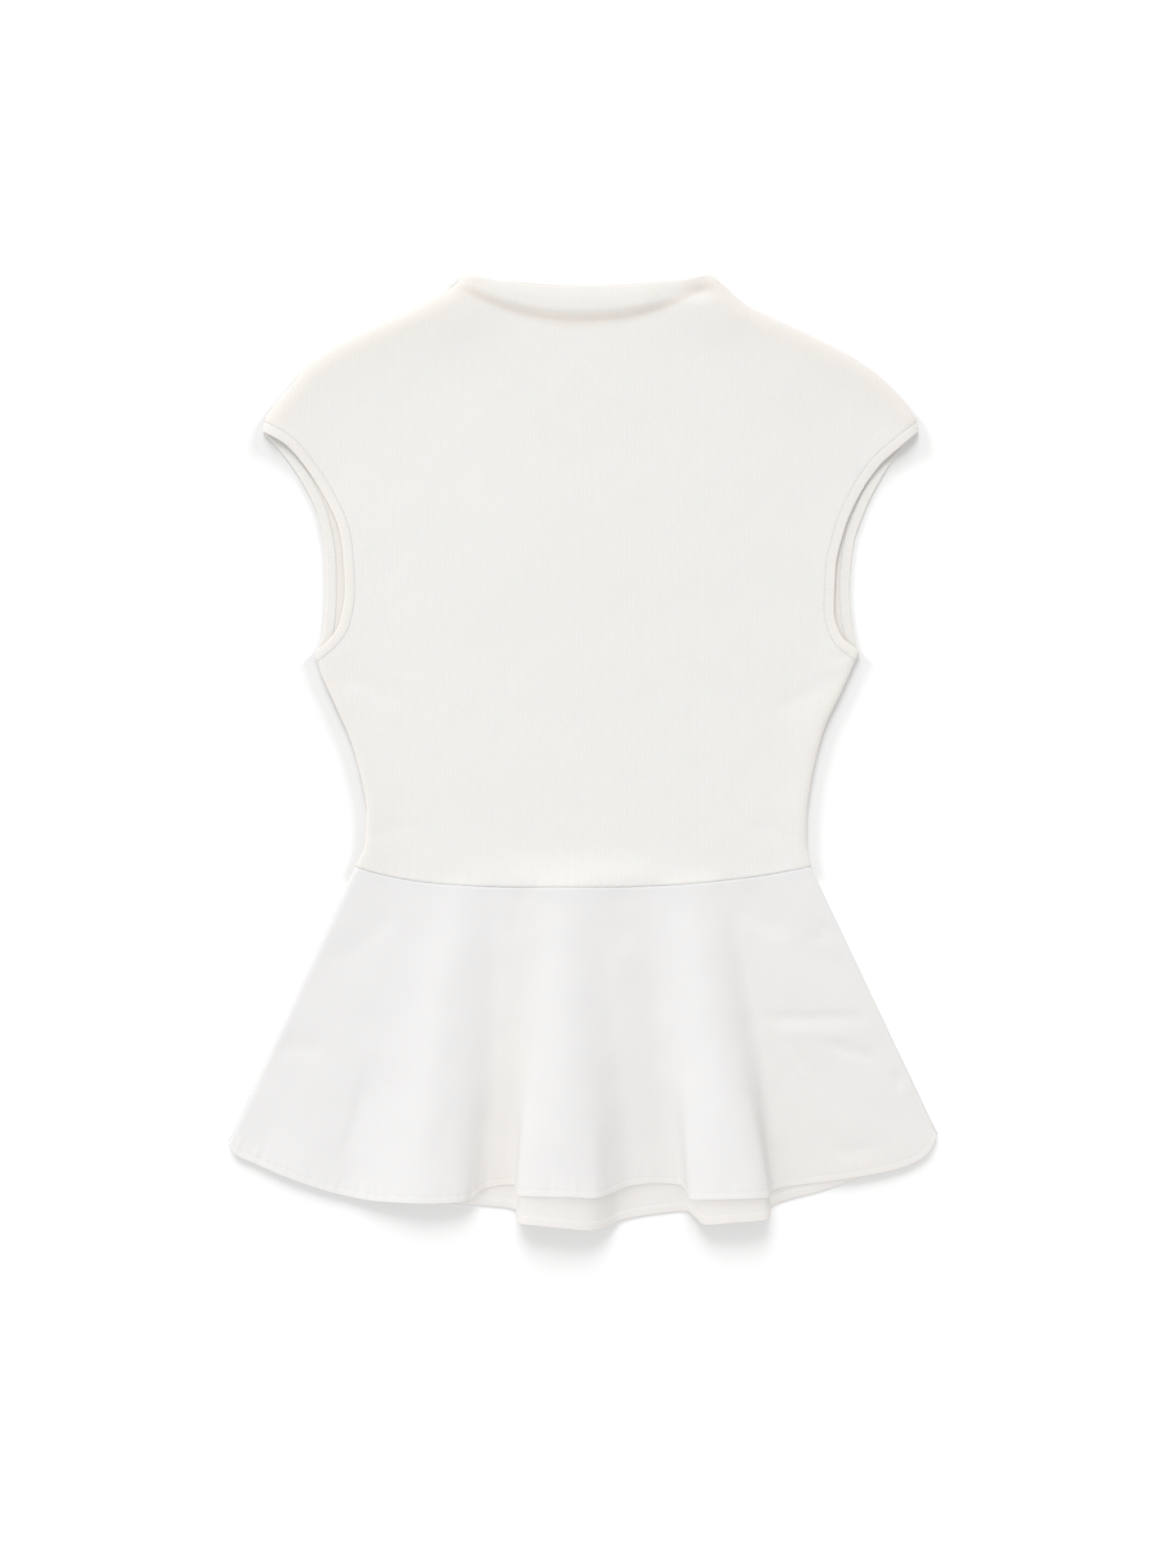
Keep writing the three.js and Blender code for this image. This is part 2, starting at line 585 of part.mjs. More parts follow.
const peplumTop = new THREE.Group();
peplumTop.add(
  piece("back_bodice", bodicePanel("back"), knit),
  piece("front_bodice", bodicePanel("front"), knit),
  piece("armhole_band_left", armholeBand("left"), knit),
  piece("armhole_band_right", armholeBand("right"), knit),
  piece("back_peplum", peplumPanel("back"), woven),
  piece("front_peplum", peplumPanel("front"), woven),
);

export default peplumTop;
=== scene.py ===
import math

import bpy
import numpy as np
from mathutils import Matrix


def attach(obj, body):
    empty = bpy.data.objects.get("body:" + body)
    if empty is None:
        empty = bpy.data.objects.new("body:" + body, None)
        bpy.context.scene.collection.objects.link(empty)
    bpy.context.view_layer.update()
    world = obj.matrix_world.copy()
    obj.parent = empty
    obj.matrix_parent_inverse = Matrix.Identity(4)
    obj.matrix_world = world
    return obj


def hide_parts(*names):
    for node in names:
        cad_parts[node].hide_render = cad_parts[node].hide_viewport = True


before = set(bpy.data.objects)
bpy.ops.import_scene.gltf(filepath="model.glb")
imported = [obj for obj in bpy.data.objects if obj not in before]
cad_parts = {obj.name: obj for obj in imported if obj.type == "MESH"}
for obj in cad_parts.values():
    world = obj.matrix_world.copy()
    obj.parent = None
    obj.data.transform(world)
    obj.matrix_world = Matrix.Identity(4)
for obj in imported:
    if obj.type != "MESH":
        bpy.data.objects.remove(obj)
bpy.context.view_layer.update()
print("frame loaded")

# Shapes are worked out in millimetres: X across the top, Y towards the neck, Z up.
# Left and right are the viewer's, looking down at the front.


def curveThrough(rows, at):
    # cubic pieces through (key, value) rows; the slope at a row is the harmonic mean of the two
    # chords there, or level where they change sign, so the curve never swings past a row
    keys, values = np.array(rows, float).T
    chord = np.diff(values) / np.diff(keys)
    product, total = chord[:-1] * chord[1:], chord[:-1] + chord[1:]
    inner = np.where(product > 0, 2 * product / np.where(total == 0, 1, total), 0)
    slope = np.concatenate(([chord[0]], inner, [chord[-1]]))
    at = np.asarray(at, float)
    i = np.clip(np.searchsorted(keys, at, side="right") - 1, 0, len(keys) - 2)
    span = keys[i + 1] - keys[i]
    t = np.clip((at - keys[i]) / span, 0, 1)
    ease = t * t * (3 - 2 * t)
    bend = slope[i] * t * (1 - t) ** 2 - slope[i + 1] * t * t * (1 - t)
    return values[i] * (1 - ease) + values[i + 1] * ease + span * bend


def smoothStep(x, low, high):
    # 0 below low and 1 above high, with the cubic 3t^2 - 2t^3 between them
    t = np.clip((x - low) / (high - low), 0, 1)
    return t * t * (3 - 2 * t)


def mix(a, b, t):
    # straight from a at t = 0 to b at t = 1
    return a + (b - a) * t


def turned(distance, width):
    # height of cloth that turns round at an edge: a quarter ellipse from 0 at the edge to 1
    away = 1 - np.minimum(distance / width, 1)
    return np.sqrt(1 - away * away)


def distanceTo(line, x, y):
    # least distance from every point to a chain of straight pieces: the point is dropped square
    # onto each piece, and held to the piece's ends
    least = np.full(np.shape(x), 1e9)
    for (ax, ay), (bx, by) in zip(line[:-1], line[1:]):
        dx, dy = bx - ax, by - ay
        t = np.clip(((x - ax) * dx + (y - ay) * dy) / (dx * dx + dy * dy), 0, 1)
        least = np.minimum(least, np.hypot(x - ax - t * dx, y - ay - t * dy))
    return least


def ripple(x, y, waves):
    # sum of plane waves: each row is a wavelength, a heading in degrees, a phase and a height
    total = np.zeros(np.shape(x))
    for length, heading, phase, height in waves:
        a = math.radians(heading)
        total += height * np.sin(2 * math.pi * (x * math.cos(a) + y * math.sin(a)) / length + phase)
    return total


def swells(x, y, rows):
    # sum of tilted Gaussian mounds: centre, two half-widths, the first one's turn, height
    total = np.zeros(np.shape(x))
    for cx, cy, along, across, turn, height in rows:
        a = math.radians(turn)
        u = ((x - cx) * math.cos(a) + (y - cy) * math.sin(a)) / along
        v = ((y - cy) * math.cos(a) - (x - cx) * math.sin(a)) / across
        total += height * np.exp(-u * u - v * v)
    return total


def creases(x, y, rows):
    # each crease is a ridge, or a trough if its height is below 0, with a Gaussian section that
    # is steeper on the side that lean gives; it bows sideways along a parabola and fades at its ends
    total = np.zeros(np.shape(x))
    for x0, y0, x1, y1, width, height, bow, lean in rows:
        dx, dy = x1 - x0, y1 - y0
        length = math.hypot(dx, dy)
        t = ((x - x0) * dx + (y - y0) * dy) / length ** 2
        side = ((y - y0) * dx - (x - x0) * dy) / length
        side = side - bow * 4 * np.clip(t, 0, 1) * (1 - np.clip(t, 0, 1))
        wide = width * (1 + lean * np.tanh(side / width))
        fade = smoothStep(t, -0.12, 0.3) * (1 - smoothStep(t, 0.7, 1.12))
        total += height * np.exp(-(side / wide) ** 2) * fade
    return total


outline = {
    "waistY": -79.8,
    "waistSag": 14.2,
    "waistPower": (4, 2.4),  # of the waist's curve on the left and on the right
    "underarmY": 70.0,
    "sleeveTipY": 223.0,
    "neckY": 332.7,
    "neckHalf": 86,  # half of the neck's width
    "neckSag": {"front": (9.1, 2.4), "back": (6.9, 1.8)},  # depth and power of the neck's dip
    "bandWidth": 7.0,
    "seamHeight": {"side": 2.9, "shoulder": 1.65},
    # y and x up each side seam
    "seam": {
        "left": [(-79.8, -157.5), (-58, -150.2), (-40, -149.8), (-20, -153.2), (6, -160),
                 (35, -172.5), (54, -181), (70, -185.8)],
        "right": [(-79.8, 158.5), (-62, 155.6), (-45, 155.8), (-22, 158.6), (15, 167.6),
                  (43, 180.5), (70, 192.5)],
    },
    # y and x up each shoulder, from the sleeve's tip to the neck
    "shoulder": {
        "left": [(223, -222), (231, -220.8), (241, -214.6), (254, -203.7), (269, -191),
                 (279, -177.5), (290.5, -156.4), (310.5, -113), (318, -99.8), (326.6, -86.4),
                 (332.7, -83.8)],
        "right": [(223, 233.7), (231, 232.2), (241, 225.3), (257.5, 210.7), (272, 192.5),
                  (291, 156.2), (299.5, 137.9), (312, 112.6), (321, 101.6), (330, 92.2),
                  (332.7, 87.6)],
    },
    # y and x up each armhole edge
    "armhole": {
        "left": {
            "front": [(70, -185.8), (79, -175.6), (91, -168.6), (113, -165.3), (141, -166.8),
                      (155, -169.4), (180, -180.9), (206, -198.8), (214, -206.6), (223, -222)],
            "back": [(70, -185.8), (83, -180.4), (113, -178.4), (134, -178.8), (163, -183.8),
                     (189, -195.9), (209, -209.9), (223, -222)],
        },
        "right": {
            "front": [(70, 192.5), (82, 179.6), (98, 175.4), (127, 176.4), (155, 182.6),
                      (176, 191.5), (199, 206.7), (213, 222.2), (223, 233.7)],
            "back": [(70, 192.5), (86, 188.8), (113, 186.4), (142, 188.8), (168, 197),
                     (193, 209.7), (212, 222.8), (223, 233.7)],
        },
    },
}


def lineOf(rows, count=70):
    # points up a table of y and x, evenly spaced in y
    y = np.linspace(rows[0][0], rows[-1][0], count)
    return np.stack((curveThrough(rows, y), y), 1)


seamLines = [lineOf(outline["seam"][side]) for side in ("left", "right")]
shoulderLines = [lineOf(outline["shoulder"][side]) for side in ("left", "right")]


def waistLine(x):
    # the waist sags by 1 - |across| to a power, from 0 at the side seams to its depth at the centre
    left, right = outline["seam"]["left"][0][1], outline["seam"]["right"][0][1]
    across = np.clip((2 * x - left - right) / (right - left), -1, 1)
    power = np.where(across < 0, *outline["waistPower"])
    return outline["waistY"] - outline["waistSag"] * (1 - np.abs(across) ** power)


def seamHeight(y):
    # the seams lie lower at the shoulders, where no cloth is gathered under them
    height = outline["seamHeight"]
    return mix(height["side"], height["shoulder"], smoothStep(y, 100, 200))


def neckDip(face, across):
    # the neck's edge dips by 1 - |across| to a power, times its depth
    depth, power = outline["neckSag"][face]
    return depth * (1 - np.minimum(np.abs(across), 1) ** power)


def armholeLine(side, face, steps, reach):
    # a line a given reach inside the armhole's edge; its ends slide along the outline's seams
    inward = 1 if side == "left" else -1
    low, high, width = outline["underarmY"], outline["sleeveTipY"], outline["bandWidth"]
    edge = outline["armhole"][side][face]
    seam, shoulder = outline["seam"][side], outline["shoulder"][side]
    y = mix(low, high, steps)
    below, above = np.maximum(y - 1, low), np.minimum(y + 1, high)
    run = curveThrough(edge, above) - curveThrough(edge, below)
    square = np.stack((above - below, -run), 1) * inward
    down = np.array([curveThrough(seam, low - width) - curveThrough(seam, low), -width])
    up = np.array([curveThrough(shoulder, high + width) - curveThrough(shoulder, high), width])
    square /= np.linalg.norm(square, axis=1, keepdims=True)
    down, up = down / np.linalg.norm(down), up / np.linalg.norm(up)
    ending = (1 - smoothStep(steps, 0, 0.16))[:, None]
    starting = (1 - smoothStep(1 - steps, 0, 0.16))[:, None]
    way = mix(mix(square, down, ending), up, starting)
    way /= np.linalg.norm(way, axis=1, keepdims=True)
    return curveThrough(edge, y) + way[:, 0] * reach, y + way[:, 1] * reach


def addPiece(name, points, faces):
    # an object with smooth faces, from points in millimetres
    mesh = bpy.data.meshes.new(name)
    mesh.from_pydata((points * 0.001).tolist(), [], faces)
    mesh.polygons.foreach_set("use_smooth", np.ones(len(mesh.polygons), bool))
    mesh.update()
    piece = bpy.data.objects.new(name, mesh)
    bpy.context.scene.collection.objects.link(piece)
    return piece


def addCloth(name, points, faces, uv, paintedShade):
    # a piece with its place on the flat cloth as UV, in metres, and how much painted shade its white
    # gets
    piece = addPiece(name, points, faces.tolist())
    layer = piece.data.uv_layers.new(name="cloth")
    layer.data.foreach_set("uv", (uv[faces.ravel()] * 0.001).astype(np.float32).ravel())
    values = piece.data.attributes.new("paintedShade", "FLOAT", "POINT").data
    values.foreach_set("value", paintedShade.astype(np.float32))
    return piece


def unit(vectors):
    # each vector divided by its length
    return vectors / np.maximum(np.linalg.norm(vectors, axis=-1, keepdims=True), 1e-9)


def gridFaces(rows, columns, start=0, flip=False):
    # quads between neighbouring rows and columns of a grid that is stored row by row
    i, j = np.meshgrid(np.arange(rows - 1), np.arange(columns - 1), indexing="ij")
    a = (start + i * columns + j).ravel()
    quads = np.stack((a, a + 1, a + columns + 1, a + columns), 1)
    return quads[:, ::-1] if flip else quads


def stripFaces(first, second):
    # quads between two closed loops of point numbers
    return np.stack((first, second, np.roll(second, -1), np.roll(first, -1)), 1)


def clothWall(name, middle, uv, upper, lower, roundness, paintedShade, capSteps=3):
    # a closed shell: the middle surface moved up and down along its normals, and a rim from the
    # upper face to the lower one: half-round where roundness is 1, nearly flat where cloth is sewn
    rows, columns = middle.shape[:2]
    across, rising = np.gradient(middle, axis=1), np.gradient(middle, axis=0)
    normal = unit(np.cross(across, rising))
    facesDown = normal[..., 2].mean() < 0
    if facesDown:
        normal = -normal
    top = middle + normal * upper[..., None]
    bottom = middle - normal * lower[..., None]
    i = np.concatenate((np.zeros(columns - 1), np.arange(rows - 1),
                        np.full(columns - 1, rows - 1), np.arange(rows - 1, 0, -1))).astype(int)
    j = np.concatenate((np.arange(columns - 1), np.full(rows - 1, columns - 1),
                        np.arange(columns - 1, 0, -1), np.zeros(rows - 1))).astype(int)
    outward = (unit(across[i, j]) * ((j == columns - 1) * 1.0 - (j == 0) * 1.0)[:, None]
               + unit(rising[i, j]) * ((i == rows - 1) * 1.0 - (i == 0) * 1.0)[:, None])
    spine = unit(top[i, j] - bottom[i, j])
    outward = unit(outward - spine * (outward * spine).sum(1, keepdims=True))
    outward *= roundness[i, j][:, None]
    centre = (top[i, j] + bottom[i, j]) / 2
    half = np.linalg.norm(top[i, j] - bottom[i, j], axis=1)[:, None] / 2
    points = [top.reshape(-1, 3), bottom.reshape(-1, 3)]
    uvs = [uv.reshape(-1, 2), uv.reshape(-1, 2)]
    # painted shade for each point of both faces, and of the rim between them
    shadePaint = [paintedShade.ravel(), paintedShade.ravel()]
    size = rows * columns
    borders = [i * columns + j]
    count = 2 * size
    for angle in np.linspace(math.pi / 2, -math.pi / 2, capSteps + 2)[1:-1]:
        points.append(centre + half * (spine * math.sin(angle) + outward * math.cos(angle)))
        uvs.append(uv[i, j])
        shadePaint.append(paintedShade[i, j])
        borders.append(count + np.arange(len(i)))
        count += len(i)
    borders.append(size + i * columns + j)
    faces = [gridFaces(rows, columns), gridFaces(rows, columns, size, flip=True)]
    faces += [stripFaces(a, b) for a, b in zip(borders[:-1], borders[1:])]
    faces = np.concatenate(faces)
    if facesDown:
        faces = faces[:, ::-1]
    return addCloth(name, np.concatenate(points), faces, np.concatenate(uvs), np.concatenate(shadePaint))


# how two sewn edges meet: the roundness of their rims and the gap between them, then the depth
# and reach of the valley along them
seam = {"roundness": 0.05, "gap": -0.06, "waist": 0.42, "armhole": 0.14, "reach": 0.8}


bodice = {
    "wall": 1.4,
    "restGap": 0.8,
    "backRoll": 4.5,
    "rims": {"side": (18, 1.7, 5), "shoulder": (24, 2.5, 11)},  # width, height, turn
    "swells": [
        (-146, 262, 70, 26, 33, 1.2),  # left yoke
        (154, 262, 70, 26, -31, 1.2),
        (-78, 306, 26, 18, 30, 1.6),  # beside the neck
        (84, 306, 26, 18, -30, 1.6),
        (-164, 136, 50, 17, 91, 1.0),  # armhole edges
        (178, 136, 50, 17, 87, 0.5),
        (-200, 214, 24, 16, 125, 0.9),  # sleeves
        (211, 214, 24, 16, 55, 0.7),
        (80, 320, 11, 5, 8, -2.4),  # dimple at the collar's right corner
        (2, -93, 62, 15, 0, 4.6),  # middle of the waist
        (-20, 150, 110, 60, 20, 0.7),
    ],
    # part of the way from the top edge to the fold, and height
    "neckRoll": [(0, 4.1), (0.35, 4.6), (0.68, 4.3), (0.88, 2.7), (1.06, 1.0), (1.25, 0.6),
                 (2, 0.6), (3.4, 0.4), (5, 0)],
    "rollAtEnds": 0.35,  # share of the roll that is left at the neck's ends
    "foldDepth": (9, 23),  # at the ends and at the centre
    "foldFade": (40, 76, 0.85),  # from where to where it flattens on the right, and its share
    # painted shade: in the fold below the collar, along the shoulder and side rims, and over the whole
    # back
    "foldPaintedShade": (0.97, 0.2, 90),  # share of the fold's depth, width, and reach from the centre
    "rimPaintedShade": {"shoulder": (18, 0.6), "side": (7, 0.4)},  # reach and strength
    "backPaintedShade": 0.5,
    "waves": [(96, 15, 0.4, 0.10), (61, 98, 2.1, 0.07), (43, 47, 4.0, 0.05), (29, 140, 1.2, 0.03)],
    "frontCreases": [
        # x0, y0, x1, y1, half-width, height, bow, lean
        (-176, 52, -120, 30, 7, -0.5, 4, 0.2),
        (181, 50, 128, 22, 7, -0.5, -4, 0.2),
        (-150, -60, -118, -52, 6, -0.35, 2, 0),
        (150, -64, 118, -50, 6, -0.35, -2, 0),
        (189, 70, 172, 64, 3.6, -0.35, 1, 0),  # bunched under the right arm
        (187, 60, 170, 50, 4, -0.35, 1, 0),
    ],
    "backCreases": [
        (-120, 40, -40, 22, 9, 0.35, 5, 0.2),
        (110, 60, 30, 30, 9, 0.3, -6, 0),
        (-60, -50, 40, -58, 8, 0.3, 4, 0.1),
        (-90, 210, -20, 190, 10, 0.25, 6, 0),
    ],
    "pucker": {"reach": 9, "height": 0.16, "spacing": 8.3, "drift": 2.6, "driftLength": 23},
    "crownShare": 0.45,
    "crownReach": 5,
    "columns": 132,
    "armholeRows": 90,
    "sideRows": (150, 0.3, 2.0, 10),  # length, finest and coarsest spacing, reach of the change
    "shoulderRows": (110, 0.4, 1.6, 6),
}


peplum = {
    "wall": 1.0,
    "turn": 4.0,
    "hem": 5.0,  # depth of the turned hem
    "hemPly": 0.35,
    "stitchGroove": 0.13,
    "stitchInset": 0.9,  # from the hem's turned edge to its stitches
    "stitchLift": 0.05,
    "stations": {"front": 330, "back": 280},
    "rowSpacing": (0.3, 3.0, 14),  # finest, coarsest, reach of the change
    "hemRows": 24,
    "columns": "waist hem drop rise crown",
    "front": [
        (-157.5, -246, -271.5, 5.2, 0),
        (-153, -242, -279.5, 5.2, 0),
        (-146, -228, -286, 5.6, 0.2),
        (-129, -200, -297.5, 7, 0.4),
        (-109, -166.6, -308, 6.4, 0.2),
        (-96, -142, -311.4, 11.5, 0.8),  # first flute
        (-84, -110, -311.8, 17.5, 1.8),
        (-73, -86, -311.6, 15, 1.2),
        (-67, -76.5, -310.6, 9, 0.4),
        (-61, -69, -304.6, 4.2, -0.2),
        (-46, -57, -302.1, 2.6, -0.5),
        (-33, -47.2, -301.2, 4, -0.1),  # second flute
        (-30, -46, -303.4, 12, 0.8),
        (-27.5, -44.6, -305.6, 20.5, 1.7),
        (-21, -34.4, -305.4, 25.4, 2.3),
        (-10, -12.7, -305.4, 26.8, 2.4),
        (0, 9, -307, 23.8, 1.6),
        (6, 20, -305.4, 14.5, 0.6),
        (14, 34, -301.7, 5.8, -0.6),
        (32, 52, -300.4, 3.4, -1.2),
        (52, 68.4, -301.4, 4.2, -0.6),  # third flute
        (57.5, 72, -305.4, 11.5, 0.6),
        (61, 74, -308.2, 20.5, 1.6),
        (67, 83.4, -307.6, 26, 2.4),
        (77, 101.6, -306.8, 28, 2.8),
        (88, 117, -306.6, 26.6, 2.4),
        (95.5, 128.2, -307, 20.5, 1.4),
        (99, 130, -306.6, 11.5, 0.2),
        (103, 132.6, -305, 4.4, -0.4),
        (110, 142, -302.9, 3.2, -0.2),
        (122, 170, -299, 5, 0.4),
        (134, 198, -294.4, 6.2, 0.6),
        (146, 224, -288.6, 5.6, 0.3),
        (154, 240.5, -279, 5.2, 0),
        (158.5, 247, -266.5, 5.2, 0),
    ],
    "back": [
        (-157.5, -246, -271.5, 0.5, 0),
        (-153, -241, -279, 0.5, 0),
        (-140, -216, -289, 0.5, 0),
        (-112, -166, -304, 0.5, 0),
        (-84, -118, -312.5, 0.5, 0),
        (-56, -76, -315.8, 0.5, 0),
        (-34, -54, -317.6, 0.5, 0),
        (-26, -45.6, -319.4, 1.2, 0),  # under the second flute
        (-24, -44.8, -322.4, 6, 0),
        (-22, -43.6, -325.6, 10.8, 0),
        (-17, -35, -326.2, 13.4, 0),
        (-8, -15, -328, 14.2, 0),
        (1, 6, -330.2, 12.2, 0),
        (6, 16, -330, 7, 0),
        (13, 27, -326.1, 1.2, 0),
        (32, 52, -322, 0.5, 0),
        (57, 73, -319.9, 0.7, 0),  # under the third flute
        (63, 79, -323.4, 5, 0),
        (67, 85, -326.8, 10.2, 0),
        (76, 102, -324.8, 13.2, 0),
        (87, 119, -323.8, 13, 0),
        (92, 128.6, -322.9, 10.8, 0),
        (95, 129.8, -320.6, 5.6, 0),
        (98, 131, -317.2, 1.2, 0),
        (106, 139, -313.6, 0.5, 0),
        (122, 168, -305.6, 0.5, 0),
        (140, 210, -290.5, 0.5, 0),
        (154, 240, -277.5, 0.5, 0),
        (158.5, 247, -266.5, 0.5, 0),
    ],
    "frontCreases": [
        # x0, y0, x1, y1, half-width, height, bow, lean
        (122, -184, 200, -183, 4, -0.9, -1, -0.4),  # across the right panel
        (124, -195, 192, -198, 5, 0.5, 1, 0.3),
        (138, -205, 158, -231, 4, 0.5, 1, 0.3),
        (170, -202, 204, -213, 3.6, -0.8, -1, 0.2),
        (146, -206, 168, -236, 5, -0.6, 1, 0.2),
        (162, -240, 196, -252, 7, -0.5, 1, 0),
        (172, -278, 206, -273, 5, -0.7, -2, 0),
        (169, -118, 160, -132, 5, -0.7, 2, 0),
        (216, -222, 220, -236, 5, -0.8, 2, 0),
        (104, -104, 150, -126, 9, -1.2, -4, 0.2),
        (150, -126, 186, -156, 10, -0.8, -3, 0),
        (-130, -104, -172, -146, 9, -0.7, 4, 0),
        (-212, -206, -180, -208, 6, -0.6, 2, 0),
        (-150, -222, -168, -286, 7, -1.0, 3, 0.2),
        (-150, -230, -136, -286, 5, -0.7, 2, 0),
        (-84, -96, -110, -296, 13, 1.3, -3, 0.1),  # the flutes' soft ridges and troughs up to the waist
        (-62, -104, -68, -292, 9, -1.3, 2, -0.1),
        (-14, -94, -14, -290, 12, 1.1, 2, 0.1),
        (22, -116, 46, -292, 8, 0.7, -2, 0),
        (42, -122, 62, -288, 9, -1.4, 2, 0),
        (76, -98, 98, -292, 12, 1.3, 2, 0.1),
        (98, -98, 132, -290, 8, -1.3, 3, -0.2),
        (-44, -95, -47, -132, 7, -0.8, 0, 0),  # gathered just below the seam
        (24, -96, 30, -138, 10, -0.9, 0, 0),
        (110, -92, 138, -122, 9, -1.0, 2, 0),
    ],
    "backCreases": [
        (-190, -200, -120, -214, 10, 0.4, 4, 0),
        (130, -160, 180, -190, 9, 0.4, 4, 0),
        (-110, -130, -80, -200, 9, 0.35, 4, 0),
    ],
    "waves": [(71, 20, 0.7, 0.13), (47, 110, 2.9, 0.09), (33, 65, 5.1, 0.07), (21, 150, 0.3, 0.04)],
    "hemPucker": {"height": 0.28, "reach": 7.0},
    # x at the hem and how much painted shade the white gets there: more in the valleys than on the
    # ridges, and more on the right side
    "paintedShade": [(-250, 0.1), (-140, 0), (-108, 0), (-84, 0.3), (-66, 1), (-50, 0.9), (-38, 0.2),
               (-12, 0), (12, 0.2), (34, 0.5), (54, 0.6), (68, 0.5), (82, 0.1), (110, 0),
               (128, 0.6), (150, 0.8), (200, 0.7), (250, 0.5)],
    # the back, shaded under the front's hem, gets painted shade all over
    "backPaintedShade": 0.6,
    "gathers": [(7.3, 0, 0.0, 0.6), (4.6, 0, 1.3, 0.4), (11.9, 0, 2.6, 0.5)],
    "lift": {"front": 0.92, "back": 1.35},  # how high the flutes stand beside the rise column
    "soft": 12.0,  # how far the flutes are rounded above the hem, and at it
    "hemSoft": 3.5,
}


peplumTable = {face: dict(zip(peplum["columns"].split(), np.array(peplum[face], float).T))
               for face in ("front", "back")}


def crownAt(x):
    # what the front's seam at the waist stands above the bodice's own level, from the flutes' table
    front = peplumTable["front"]
    return bodice["crownShare"] * curveThrough(np.stack((front["waist"], front["crown"]), 1), x)


def frontLevel(x, y):
    # the front as it lies on the back, plus its swells, plus the neck's roll by the share of the
    # fold's depth below the edge
    middle = np.maximum(1 - (x / outline["neckHalf"]) ** 2, 0)
    ends, centre = bodice["foldDepth"]
    left, right = outline["shoulder"]["left"][-1][1], outline["shoulder"]["right"][-1][1]
    top = outline["neckY"] - neckDip("front", (2 * x - left - right) / (right - left))
    roll = curveThrough(bodice["neckRoll"], (top - y) / mix(ends, centre, middle))
    height = bodice["wall"] * 1.5 + bodice["restGap"] + swells(x, y, bodice["swells"])
    low, high, fade = bodice["foldFade"]
    return height + roll * np.minimum(1, bodice["rollAtEnds"] + middle) * (
        1 - fade * smoothStep(x, low, high))


def frontHeight(x, y, half):
    # from the seam's height up a quarter ellipse to the front's level, with a Gaussian rim along
    # the seams, waves and creases, puckers along the waist and the tops of the flutes
    turn, rim = np.ones(np.shape(x)), np.zeros(np.shape(x))
    for lines, key in ((seamLines, "side"), (shoulderLines, "shoulder")):
        width, height, roll = bodice["rims"][key]
        for line in lines:
            away = distanceTo(line, x, y)
            turn = np.minimum(turn, turned(away, roll))
            rim = np.maximum(rim, height * np.exp(-(away / width) ** 2))
    low = seamHeight(y) + half * seam["roundness"] + seam["gap"] / 2
    detail = ripple(x, y, bodice["waves"]) + creases(x, y, bodice["frontCreases"])
    above = y - waistLine(x)
    pucker = bodice["pucker"]
    along = x + pucker["drift"] * np.sin(x / pucker["driftLength"])
    detail += pucker["height"] * np.exp(-np.maximum(above, 0) / pucker["reach"]) * np.sin(
        2 * math.pi * along / pucker["spacing"])
    detail += crownAt(x) * np.exp(-(np.maximum(above, 0) / bodice["crownReach"]) ** 2)
    return low + (frontLevel(x, y) + rim + detail - low) * turn


def backHeight(x, y, half):
    # on the floor, with creases, and up to the seam's height in a quarter ellipse at the edge
    nearest = np.min([distanceTo(line, x, y) for line in seamLines + shoulderLines], axis=0)
    low = seamHeight(y) - half * seam["roundness"] - seam["gap"] / 2
    level = half + creases(x, y, bodice["backCreases"])
    return low + (level - low) * turned(nearest, bodice["backRoll"])


def crowded(count):
    # steps from 0 to 1 by half a cosine wave, finest at both ends
    return (1 - np.cos(math.pi * np.linspace(0, 1, count))) / 2


def graded(length, finest, coarsest, reach, start=True, end=False):
    # steps from 0 to 1 whose spacing grows from the finest at a chosen end to the coarsest
    place = np.linspace(0, length, 4000)
    near = np.minimum(place if start else length, length - place if end else length)
    density = 1 / mix(finest, coarsest, smoothStep(near, 0, reach))
    total = np.concatenate(([0], np.cumsum((density[1:] + density[:-1]) / 2 * np.diff(place))))
    return np.interp(np.linspace(0, total[-1], math.ceil(total[-1]) + 1), total, place) / length


